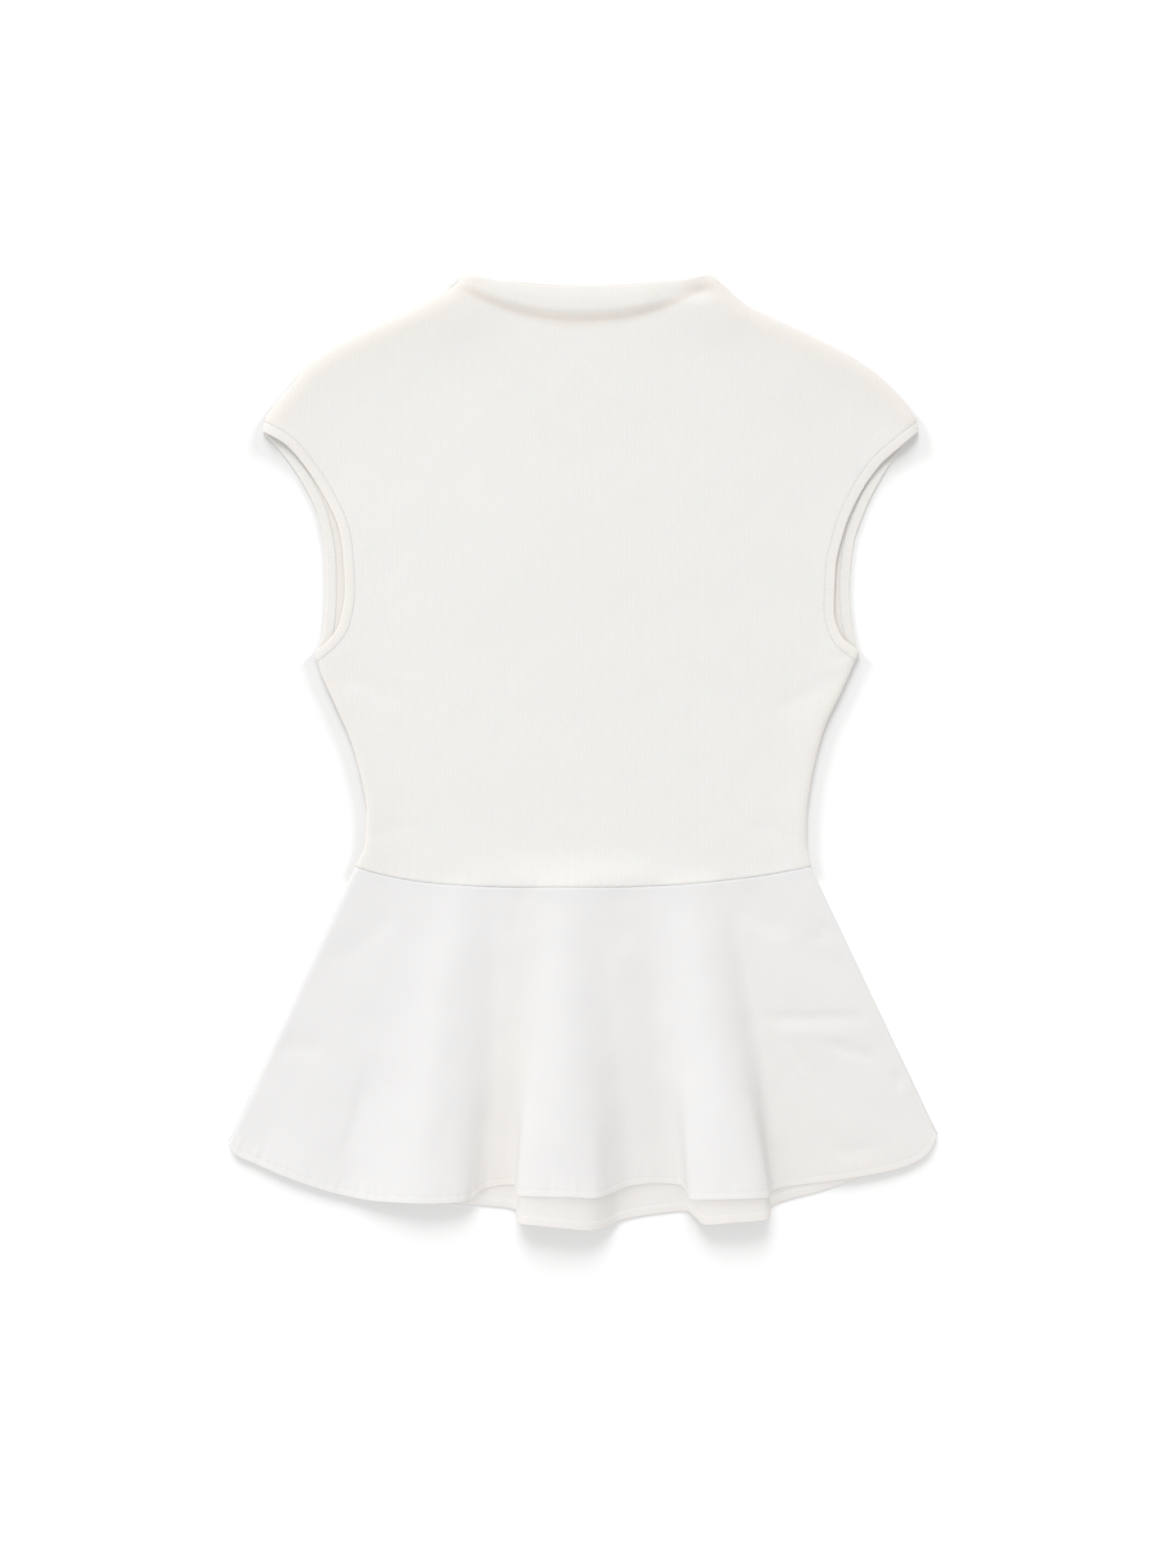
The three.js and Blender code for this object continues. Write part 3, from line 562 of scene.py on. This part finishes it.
def bodiceGrid(face, half):
    # rows run from the waist to the neck: first up the side seams, then up the armhole seams,
    # then up the shoulders; the columns crowd together where the cloth turns round
    butt = half * seam["roundness"] + seam["gap"] / 2
    steps = crowded(bodice["armholeRows"])
    low = graded(*bodice["sideRows"])[:-1]
    high = graded(*bodice["shoulderRows"], start=False, end=True)[1:]
    blocks = []
    for side in ("left", "right"):
        sideSeam, shoulder = outline["seam"][side], outline["shoulder"][side]
        armX, armY = armholeLine(side, face, steps, outline["bandWidth"] + butt)
        lowY = mix(outline["waistY"] + butt, armY[0], low)
        highY = mix(armY[-1], outline["neckY"] - half, high)
        x = np.concatenate((curveThrough(sideSeam, lowY), armX, curveThrough(shoulder, highY)))
        blocks.append((x, np.concatenate((lowY, armY, highY))))
    (leftX, leftY), (rightX, rightY) = blocks
    follow = np.concatenate((1 - smoothStep(low, 0, 0.6), np.zeros(len(steps) + len(high))))
    neck = np.concatenate((np.zeros(len(low) + len(steps)), smoothStep(high, 0.35, 1)))
    side, shoulder = bodice["rims"]["side"][2], bodice["rims"]["shoulder"][2]
    roll = np.concatenate((np.full(len(low), side), mix(side, shoulder, steps),
                           shoulder * (1 + np.sin(math.pi * high))))
    edge = 1 - np.cos(np.linspace(0, math.pi / 2, 9))
    near = leftX[:, None] + edge * roll[:, None]
    far = (rightX[:, None] - edge * roll[:, None])[:, ::-1]
    between = np.linspace(0, 1, bodice["columns"])[1:-1]
    middle = near[:, -1:] + (far[:, :1] - near[:, -1:]) * between
    x = np.concatenate((near, middle, far), axis=1)
    part = (x - leftX[:, None]) / (rightX - leftX)[:, None]
    y = mix(leftY[:, None], rightY[:, None], part)
    y = y + follow[:, None] * (waistLine(x) - outline["waistY"])
    return x, y - neck[:, None] * neckDip(face, 2 * part - 1)


def finishCloth(piece, nodes, material):
    piece.data.materials.append(material)
    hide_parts(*nodes)
    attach(piece, "root")
    return piece


def armholeGroove(y):
    # depth of the valley along an armhole seam, deeper up the sleeve
    return seam["armhole"] * mix(0.1, 1.6, smoothStep(y, 160, 225))


def seamGroove(x, y, face):
    # a shallow valley along the waist seam, and on the front along both armhole seams, where it
    # is deepest at the sleeve's tip
    groove = seam["waist"] * np.exp(-((y - waistLine(x)) / seam["reach"]) ** 2)
    for side in ("left", "right") if face == "front" else ():
        line = np.stack(armholeLine(side, face, crowded(60), outline["bandWidth"]), 1)
        groove += armholeGroove(y) * np.exp(-(distanceTo(line, x, y) / seam["reach"]) ** 2)
    return groove


def bodicePaintedShade(face, x, y):
    # Gaussians of painted shade across the fold below the collar and along the shoulder and side seams;
    # the back, which lies under the front, gets painted shade all over
    if face == "back":
        return np.full(x.shape, bodice["backPaintedShade"])
    across = x / outline["neckHalf"]
    depth = mix(*bodice["foldDepth"], np.maximum(1 - across ** 2, 0))
    fold = (outline["neckY"] - neckDip("front", across) - y) / depth
    near = 0
    for lines, key in ((shoulderLines, "shoulder"), (seamLines, "side")):
        reach, strength = bodice["rimPaintedShade"][key]
        away = np.min([distanceTo(line, x, y) for line in lines], axis=0)
        near = near + strength * np.exp(-(away / reach) ** 2)
    place, width, end = bodice["foldPaintedShade"]
    return np.clip(np.exp(-((fold - place) / width) ** 2) * (np.abs(x) < end) + near, 0, 1)


def bodicePanel(face):
    # a wall round the panel's middle surface, thinner in the valleys of its seams
    half = bodice["wall"] / 2
    x, y = bodiceGrid(face, half)
    height = frontHeight if face == "front" else backHeight
    middle = np.stack((x, y, height(x, y, half)), 2)
    thick = np.full(x.shape, half)
    roundness = np.full(x.shape, seam["roundness"])
    roundness[-1, 1:-1] = 1  # the neck's edge is free
    return clothWall(face + "BodiceKnit", middle, np.stack((x, y), 2),
                     thick - seamGroove(x, y, face), thick, roundness, bodicePaintedShade(face, x, y))


class Value:
    # one output of a node, so that shader maths reads as plain sums
    def __init__(self, board, socket):
        self.board, self.socket = board, socket

    def math(self, operation, *others):
        return self.board.add("ShaderNodeMath", {"operation": operation}, {0: self, **{
            k + 1: other for k, other in enumerate(others)}})

    def __add__(self, other):
        return self.math("ADD", other)

    __radd__ = __add__

    def __mul__(self, other):
        return self.math("MULTIPLY", other)

    __rmul__ = __mul__

    def __truediv__(self, other):
        return self.math("DIVIDE", other)

    def __pow__(self, other):
        return self.math("POWER", other)


class Board:
    # a material's nodes, with its Principled shader
    def __init__(self, name):
        self.material = bpy.data.materials.new(name)
        self.material.use_nodes = True
        self.nodes, self.links = self.material.node_tree.nodes, self.material.node_tree.links
        self.shader = self.nodes["Principled BSDF"]

    def add(self, kind, settings=None, inputs=None, output=0):
        # makes a node: its settings first, then the values or links of its sockets
        node = self.nodes.new(kind)
        for key, value in (settings or {}).items():
            setattr(node, key, value)
        for key, value in (inputs or {}).items():
            self.put(node.inputs[key], value)
        return Value(self, node.outputs[output])

    def put(self, socket, value):
        if isinstance(value, Value):
            self.links.new(value.socket, socket)
        elif socket.type == "RGBA":
            socket.default_value = (*value[:3], 1)
        else:
            socket.default_value = value

    def set(self, **values):
        for key, value in values.items():
            self.put(self.shader.inputs[key.replace("_", " ")], value)


def mixColour(board, factor, first, second, blend="MIX"):
    return board.add("ShaderNodeMix", {"data_type": "RGBA", "blend_type": blend},
                     {0: factor, 6: first, 7: second}, 2)


def withPaintedShade(board, colour, tint):
    # the colour, multiplied by the tint as far as the painted shade reaches: painted shade in folds,
    # valleys and layers under others
    paintedShade = board.add("ShaderNodeAttribute", {"attribute_name": "paintedShade"}, output=2)
    return mixColour(board, paintedShade, colour, tint, "MULTIPLY")


knitLook = {
    "high": (0.830, 0.814, 0.788),
    "low": (0.778, 0.757, 0.722),
    "shadePaint": (0.99, 0.945, 0.915),  # painted shade tint, for folds, rims, valleys and the layers under the front
    "rib": 1.4,  # width of one rib
    "course": 1.05,  # height of one row of stitches
    "ribDepth": 0.22,
    "noise": {"drift": (38.0, 2.0), "fuzz": (1900.0, 3.0), "cloud": (17.0, 3.0)},  # scale, detail
    "bump": 0.55,
    "roughness": 0.86,
    "gloss": 0.25,
    "sheen": (0.12, 0.45),  # strength and roughness
    "glow": 0.3,  # share of the light that passes through the cloth
}
wovenLook = {
    "high": (0.812, 0.802, 0.804),
    "low": (0.764, 0.752, 0.744),
    # painted shade tint for the woven's valleys and for the back under the front's hem
    "shadePaint": (0.985, 0.966, 0.932),
    "thread": 0.42,
    "threadDepth": 0.05,
    "slub": (900.0, 40.0, 1.0),
    "noise": {"slub": (1.0, 2.0), "cloud": (11.0, 4.0)},
    "bump": 0.6,
    "roughness": 0.7,
    "gloss": 0.35,
    "sheen": (0.2, 0.35),
    "glow": 0.3,
}


def uvParts(board):
    # the place on the flat cloth, then its two parts
    uv = board.add("ShaderNodeUVMap", {"uv_map": "cloth"})
    split = board.add("ShaderNodeSeparateXYZ", None, {0: uv})
    return uv, split, Value(board, split.socket.node.outputs[1])


def noise(board, look, key, place):
    scale, detail = look["noise"][key]
    return board.add("ShaderNodeTexNoise", None, {"Vector": place, "Scale": scale, "Detail": detail})


def clothShader(board, look, mottleAndPaintedShade, height, depth):
    # the cloth's colour with its painted shade tint, its relief, and the light that it scatters and lets
    # through
    bump = board.add("ShaderNodeBump", None, {
        "Strength": look["bump"], "Distance": depth * 0.001, "Height": height})
    colour = mixColour(board, mottleAndPaintedShade, look["low"], look["high"])
    sheen, sheenRoughness = look["sheen"]
    board.set(Base_Color=withPaintedShade(board, colour, look["shadePaint"]), Normal=bump,
              Subsurface_Weight=look["glow"], Subsurface_Radius=(1.0, 0.8, 0.64),
              Subsurface_Scale=0.003, Roughness=look["roughness"], Sheen_Weight=sheen,
              Sheen_Roughness=sheenRoughness, Specular_IOR_Level=look["gloss"])
    return board.material


def knitMaterial(name, look, turnedRib=False):
    # rounded ribs along the cloth with a stitch ripple on each, and a fine mottle of the yarn
    board = Board(name)
    u, v = uvParts(board)[1:]
    if turnedRib:
        u, v = v, u
    place = board.add("ShaderNodeTexCoord", output="Object")
    across = u / (look["rib"] * 0.001) + 0.5 * noise(board, look, "drift", place)
    along = v / (look["course"] * 0.001)
    rib = (math.pi * across).math("SINE").math("ABSOLUTE") ** 0.55
    stitch = (2 * math.pi * along + 1.4 * (2 * math.pi * across).math("SINE")).math("SINE")
    fuzz, cloudy = (noise(board, look, key, place) for key in ("fuzz", "cloud"))
    height = 0.8 * rib + 0.09 * stitch + 0.25 * fuzz
    # lighter on the rib crests, a painted shade between the ribs, with the yarn's mottle on top
    mottleAndPaintedShade = 0.12 + (0.55 * rib + 0.25 * cloudy + 0.2 * fuzz)
    return clothShader(board, look, mottleAndPaintedShade.math("MINIMUM", 1.0), height, look["ribDepth"])


def wovenMaterial(name, look):
    # a plain weave: warp and weft threads as crossing rounded ribs, with a few thicker threads
    board = Board(name)
    uv, u, v = uvParts(board)
    place = board.add("ShaderNodeTexCoord", output="Object")
    warp, weft = ((2 * math.pi / (look["thread"] * 0.001) * way).math("SINE") for way in (u, v))
    weave = warp * weft
    stretched = board.add("ShaderNodeMapping", None, {"Vector": uv, "Scale": look["slub"]})
    slub, cloudy = noise(board, look, "slub", stretched), noise(board, look, "cloud", place)
    height = 0.5 * weave + 0.9 * slub
    # a little lighter where the weave's threads rise, a painted shade between threads, with the mottle
    # and slubs
    mottleAndPaintedShade = 0.18 + (0.45 * cloudy + 0.3 * slub + 0.06 * weave)
    return clothShader(board, look, mottleAndPaintedShade.math("MINIMUM", 1.0), height, look["threadDepth"])


ribKnit = knitMaterial("offWhiteRibKnit", knitLook)
ribBand = knitMaterial("offWhiteRibBand", knitLook, turnedRib=True)
wovenCloth = wovenMaterial("whitePlainWeave", wovenLook)
print("materials made")


backBodice = finishCloth(bodicePanel("back"), ["back_bodice"], ribKnit)
frontBodice = finishCloth(bodicePanel("front"), ["front_bodice"], ribKnit)
print("bodice made")


# the bands get painted shade all over, for the shade in the armhole's gap
band = {"wall": 1.5, "steps": 90, "crown": 0.15, "paintedShade": 0.25}


def ringWall(name, ring, uv, upper, half, paintedShade):
    # a closed loop of cloth: its first edge is half-round and its last one is sewn to the bodice
    across = np.gradient(ring, axis=1)
    along = np.roll(ring, -1, axis=0) - np.roll(ring, 1, axis=0)
    normal = unit(np.cross(across, along))
    rows, columns = ring.shape[:2]
    angles = np.linspace(math.pi / 2, -math.pi / 2, 5)[1:-1]
    top, bottom = ring + normal * upper[..., None], ring - normal * half
    section = [top[:, j] for j in range(columns)]
    sectionUv = [uv[:, j] for j in range(columns)]
    for k, order, roundness in ((-1, angles, seam["roundness"]), (0, angles[::-1], 1)):
        out = unit(across[:, k]) * (-1 if k == 0 else 1) * roundness
        for angle in order:
            section.append(ring[:, k] + half * (normal[:, k] * math.sin(angle) + out * math.cos(angle)))
            sectionUv.append(uv[:, k])
        if k == -1:
            section += [bottom[:, j] for j in range(columns - 1, -1, -1)]
            sectionUv += [uv[:, j] for j in range(columns - 1, -1, -1)]
    points = np.stack(section, 1)
    points[..., 2] = np.maximum(points[..., 2], 0)
    count = points.shape[1]
    i, j = np.meshgrid(np.arange(rows), np.arange(count), indexing="ij")
    nextI, nextJ = (i + 1) % rows, (j + 1) % count
    faces = np.stack((i * count + j, i * count + nextJ, nextI * count + nextJ, nextI * count + j), -1)
    # the same painted shade at every point of the ring
    return addCloth(name, points.reshape(-1, 3), faces.reshape(-1, 4),
                    np.stack(sectionUv, 1).reshape(-1, 2), np.full(rows * count, paintedShade))


def armholeBand(side):
    # a ring up the front and down the back of the armhole, on the level of its panels, with half
    # a sine wave of extra height across it
    half = band["wall"] / 2
    steps = crowded(band["steps"])
    inner = outline["bandWidth"] - half * seam["roundness"] - seam["gap"] / 2
    share = graded(inner - half, 0.25, 0.9, 2.5, end=True)
    halves = []
    for face, height in (("front", frontHeight), ("back", backHeight)):
        lines = [armholeLine(side, face, steps, mix(half, inner, k)) for k in share]
        x, y = (np.stack([line[k] for line in lines], 1) for k in (0, 1))
        halves.append(np.stack((x, y, height(x, y, bodice["wall"] / 2)), 2))
    halves[1][..., 2] = np.maximum(halves[1][..., 2], half)
    ring = np.concatenate((halves[0], halves[1][::-1]))
    run = np.cumsum(np.linalg.norm(np.diff(ring[:, 0], axis=0, prepend=ring[-1:, 0]), axis=1))
    uv = np.stack(np.broadcast_arrays(share[None, :] * inner, run[:, None]), 2)
    onFront = (np.arange(len(ring)) < len(ring) / 2)[:, None]
    depth = armholeGroove(ring[..., 1]) * onFront
    upper = half * (1 + band["crown"] * np.sin(math.pi * share)) - depth * np.exp(
        -((1 - share) * inner / seam["reach"]) ** 2)
    if side == "right":
        ring, uv, upper = ring[::-1], uv[::-1], upper[::-1]
    return ringWall("armholeBand" + side.capitalize(), ring, uv, upper, half, band["paintedShade"])


clothPieces = [backBodice, frontBodice]
for side in ("left", "right"):
    clothPieces.append(finishCloth(armholeBand(side), ["armhole_band_" + side], ribBand))
print("armhole bands made")


def softened(values, station, width):
    # each row blurred along the flutes by a Gaussian of its own width, less towards the sides
    gap = station[None, :, None] - station[None, None, :]
    weight = np.exp(-(gap / width[:, None, None]) ** 2 / 2) * np.gradient(station)
    blurred = np.einsum("ijk,ik->ij", weight, values) / weight.sum(2)
    side = np.minimum(station, station[-1] - station)
    return values + (blurred - values) * smoothStep(side, 12, 45)


def peplumPanel(face):
    # straight lines from the waist to the hem's table, whose heights grow from the waist's level
    # to the table's rise; the sides turn down to the seam in a quarter ellipse
    front = face == "front"
    half = peplum["wall"] / 2
    table = dict(peplumTable[face])
    table["rise"] = table["rise"] * np.where(table["rise"] > 4, peplum["lift"][face], 1)
    run = np.cumsum(np.hypot(np.hypot(np.diff(table["hem"], prepend=table["hem"][0]),
                                      np.diff(table["rise"], prepend=table["rise"][0])),
                             np.diff(table["drop"], prepend=table["drop"][0])))
    edge = (1 - np.cos(np.linspace(0, math.pi / 2, 8))) * peplum["turn"] * 1.2
    inner = np.linspace(edge[-1], run[-1] - edge[-1], peplum["stations"][face])
    station = np.concatenate((edge[:-1], inner, run[-1] - edge[:-1][::-1]))
    column = {key: curveThrough(np.stack((run, table[key]), 1), station) for key in table}
    waistX = column["waist"]
    butt = half * seam["roundness"] + seam["gap"] / 2
    top = waistLine(waistX) - butt
    hemY = column["drop"] + half
    length = np.hypot(column["hem"] - waistX, hemY - top)
    deep = length.mean()
    upperPart = graded(deep - 2 * peplum["hem"], *peplum["rowSpacing"])
    lowerPart = np.linspace(1 - 2 * peplum["hem"] / deep, 1, peplum["hemRows"])
    part = np.concatenate((upperPart[:-1] * lowerPart[0], lowerPart))[:, None]
    x = mix(waistX, column["hem"], part)
    y = mix(top, hemY, part)
    ends = [[(table["waist"][k], outline["waistY"]), (table["hem"][k], table["drop"][k])]
            for k in (0, -1)]
    away = np.minimum(distanceTo(ends[0], x, y), distanceTo(ends[1], x, y))
    side = 1 if front else -1
    low = seamHeight(-100) + side * butt
    fromHem = (1 - part) * length
    if front:
        atWaist = frontLevel(waistX, top) + crownAt(waistX)
        reach, height = bodice["rims"]["side"][:2]
        rim = height * np.exp(-(away / reach) ** 2) * (1 - part)
    else:
        atWaist, rim = half, 0
    level = mix(atWaist, column["rise"], part ** 1.1)
    down = part[:, 0]
    width = peplum["soft"] * (1 - smoothStep(down, 0.5, 0.97)) * smoothStep(down, -0.01, 0.07) + 0.01
    level = softened(level, station, width + peplum["hemSoft"] * down)
    x = softened(x, station, width)
    gather = ripple(station, 0 * station, peplum["gathers"])
    uneven = 0.4 + 0.6 * np.sin(station / 26 + 0.8) ** 2
    pucker = peplum["hemPucker"]
    near = np.exp(-((fromHem - peplum["hem"]) / pucker["reach"]) ** 2)
    if front:
        detail = ripple(x, y, peplum["waves"]) * smoothStep(part, 0, 0.15)
        detail += creases(x, y, peplum["frontCreases"])
        detail += gather * near * uneven * pucker["height"]
    else:
        detail = creases(x, y, peplum["backCreases"])
        detail += np.abs(gather) * near * pucker["height"] * 0.4
    z = low + (level + rim + detail - low) * turned(away, peplum["turn"])
    z = np.maximum(z, half)
    middle = np.stack((x, y, z), 2)
    inHem = smoothStep(fromHem, peplum["hem"] + 0.5, peplum["hem"] - 0.3)
    aboveStitches = fromHem - peplum["hem"] + peplum["stitchInset"]
    groove = peplum["stitchGroove"] * np.exp(-(aboveStitches / 0.6) ** 2)
    atSeam = seam["waist"] * np.exp(-((part * length) / seam["reach"]) ** 2)
    plain = np.full(x.shape, half)
    if front:
        upper, lower = plain - groove - atSeam, plain + peplum["hemPly"] * inHem - groove * 0.5
        # painted shade from the table by the hem's x, fading to 0.3 of it at the waist
        paintedShade = curveThrough(peplum["paintedShade"], x / mix(0.62, 1, part)) * mix(0.3, 1, part)
    else:
        upper, lower = plain + peplum["hemPly"] * inHem - groove - atSeam, plain
        # the back gets even painted shade
        paintedShade = np.full(x.shape, peplum["backPaintedShade"])
    roundness = np.ones(x.shape)
    roundness[0], roundness[:, 0], roundness[:, -1] = (seam["roundness"],) * 3
    piece = clothWall(face + "PeplumCloth", middle, np.stack((x, y), 2), upper, lower, roundness, paintedShade)
    normal = unit(np.cross(np.gradient(middle, axis=1), np.gradient(middle, axis=0)))
    normal *= np.where(normal[..., 2:3] < 0, -1, 1)
    row = np.argmin(np.abs(aboveStitches.mean(1)))
    path = middle[row] + normal[row] * (upper[row] + peplum["stitchLift"])[:, None]
    return piece, path[6:-6], normal[row][6:-6]


thread = {"start": 0.6, "length": 2.5, "gap": 0.5, "radius": 0.19, "sink": 0.05, "sides": 6,
          "rings": 5}


def stitchRow(name, path, normal, material):
    # short rounded threads laid end to end along a path: an elongated ellipsoid for each stitch
    run = np.concatenate(([0], np.cumsum(np.linalg.norm(np.diff(path, axis=0), axis=1))))
    starts = np.arange(thread["start"], run[-1] - thread["length"], thread["length"] + thread["gap"])

    def at(values, where):
        return np.stack([np.interp(where, run, values[:, k]) for k in range(3)], 1)

    a, b = at(path, starts), at(path, starts + thread["length"])
    up = unit(at(normal, starts + thread["length"] / 2))
    centre, axis = (a + b) / 2 - up * thread["sink"], unit(b - a)
    side = unit(np.cross(up, axis))
    up = np.cross(axis, side)
    theta = np.linspace(0, math.pi, thread["rings"] + 2)[1:-1]
    phi = np.linspace(0, 2 * math.pi, thread["sides"], endpoint=False)
    t, p = np.meshgrid(theta, phi, indexing="ij")
    long = (np.cos(t) * thread["length"] / 2).ravel()
    wide = (np.sin(t) * np.cos(p) * thread["radius"]).ravel()
    tall = (np.sin(t) * np.sin(p) * thread["radius"]).ravel()
    body = (centre[:, None] + axis[:, None] * long[:, None] + side[:, None] * wide[:, None]
            + up[:, None] * tall[:, None])
    tips = np.stack((centre + axis * thread["length"] / 2, centre - axis * thread["length"] / 2), 1)
    points = np.concatenate((body, tips), 1)
    count, sides, rings = points.shape[1], thread["sides"], thread["rings"]
    i, j = np.meshgrid(np.arange(rings - 1), np.arange(sides), indexing="ij")
    k = (j + 1) % sides
    quads = np.stack((i * sides + j, (i + 1) * sides + j, (i + 1) * sides + k, i * sides + k), -1)
    j = np.arange(sides)
    k = (j + 1) % sides
    first = np.stack((np.full(sides, rings * sides), j, k), 1)
    last = np.stack((np.full(sides, rings * sides + 1), k, j), 1)
    last[:, 1:] += (rings - 1) * sides
    shift = (np.arange(len(starts)) * count)[:, None, None]
    faces = (quads.reshape(1, -1, 4) + shift).reshape(-1, 4).tolist()
    faces += (np.concatenate((first, last))[None] + shift).reshape(-1, 3).tolist()
    piece = addPiece(name, points.reshape(-1, 3), faces)
    piece.data.materials.append(material)
    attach(piece, "root")
    return piece


def threadMaterial():
    board = Board("whiteSewingThread")
    place = board.add("ShaderNodeTexCoord", output="Object")
    twist = board.add("ShaderNodeTexNoise", None, {"Vector": place, "Scale": 2600.0, "Detail": 1.0})
    bump = board.add("ShaderNodeBump", None, {"Strength": 0.4, "Distance": 0.00005, "Height": twist})
    board.set(Base_Color=mixColour(board, twist, (0.82, 0.81, 0.79), (0.87, 0.865, 0.85)),
              Roughness=0.55, Normal=bump, Sheen_Weight=0.2)
    return board.material


sewingThread = threadMaterial()
for face, under in (("back", ["floor"]), ("front", ["backPeplumCloth"])):
    piece, path, normal = peplumPanel(face)
    stitches = stitchRow(face + "HemStitches", path, normal, sewingThread)
    finishCloth(piece, [face + "_peplum"], wovenCloth)
    clothPieces += [piece, stitches]
print("peplum and stitching made")


studio = {
    "floor": (0.61, 0.61, 0.61),
    "fill": ((1.0, 0.997, 0.992), 0.75),
    # suns: where they shine from, how wide they are in degrees, how strong, and whose shadows they cast
    "clothSuns": {"neckSun": ((-0.24, 0.76, 0.67), 28.0, 1.40, "bodice")},
    "floorSuns": {  # for the wide soft shadow round the cloth
        "leftLowSun": ((-0.74, 0.54, 0.28), 14.0, 2.70, "bodice"),
        "rightLowSun": ((0.70, 0.56, 0.28), 14.0, 2.60, "bodice"),
        "topSun": ((-0.10, 0.77, 0.53), 34.0, 2.60, "all"),
    },
    "panel": {"at": (-1.3, 0.3, 1.3), "size": 1.0, "power": 4.0},
    "lamp": (1.0, 0.998, 0.996),
    "camera": {"at": (0.004, -0.0222, 1.35), "frame": 1920 * 0.57e-3, "sensor": 36},
}


def addFloor():
    # a square that ends far beyond the picture, just below the cloth
    reach, below = 4, -0.0001
    corners = [(x * reach, y * reach, below) for x, y in ((-1, -1), (1, -1), (1, 1), (-1, 1))]
    mesh = bpy.data.meshes.new("floor")
    mesh.from_pydata(corners, [], [(0, 1, 2, 3)])
    floor = bpy.data.objects.new("floor", mesh)
    bpy.context.scene.collection.objects.link(floor)
    board = Board("whiteStudioFloor")
    board.set(Base_Color=studio["floor"], Roughness=0.9, Specular_IOR_Level=0.1)
    floor.data.materials.append(board.material)
    return floor


def addLamp(name, kind, power, direction, lights):
    # a lamp that shines from the direction given, on the collection it lights
    lamp = bpy.data.lights.new(name, kind)
    lamp.energy, lamp.color = power, studio["lamp"]
    thing = bpy.data.objects.new(name, lamp)
    x, y, z = direction
    thing.rotation_euler = (math.atan2(math.hypot(x, y), z), 0, math.atan2(y, x) + math.pi / 2)
    thing.light_linking.receiver_collection = lights
    bpy.context.scene.collection.objects.link(thing)
    return thing


def addLights(floor):
    # the cloth has a soft sun from beyond the neck and a panel on the left, the floor has its own
    # suns, and an even fill comes from all round
    group = {"ground": [floor], "cloth": clothPieces, "bodice": clothPieces[:4]}
    for name, members in group.items():
        group[name] = bpy.data.collections.new(name)
        for piece in members:
            group[name].objects.link(piece)
    for suns, lights in ((studio["clothSuns"], group["cloth"]), (studio["floorSuns"], group["ground"])):
        for name, (direction, angle, power, casters) in suns.items():
            thing = addLamp(name, "SUN", power, direction, lights)
            thing.data.angle = math.radians(angle)
            thing.light_linking.blocker_collection = group.get(casters)
    panel = studio["panel"]
    thing = addLamp("leftPanel", "AREA", panel["power"], panel["at"], group["cloth"])
    thing.location, thing.data.size = panel["at"], panel["size"]
    world = bpy.data.worlds.new("studio")
    bpy.context.scene.world = world
    world.use_nodes = True
    colour, strength = studio["fill"]
    world.node_tree.nodes["Background"].inputs[0].default_value = (*colour, 1)
    world.node_tree.nodes["Background"].inputs[1].default_value = strength


def addCamera():
    # straight above; the frame is 1440 by 1920 with 0.57 mm of the floor to a pixel
    view = studio["camera"]
    camera = bpy.data.cameras.new("camera")
    camera.sensor_width = view["sensor"]
    camera.lens = view["sensor"] * view["at"][2] / view["frame"]
    thing = bpy.data.objects.new("camera", camera)
    thing.location = view["at"]
    bpy.context.scene.collection.objects.link(thing)
    bpy.context.scene.camera = thing


addLights(addFloor())
addCamera()
bpy.context.scene.view_settings.view_transform = "Standard"
print("studio made")
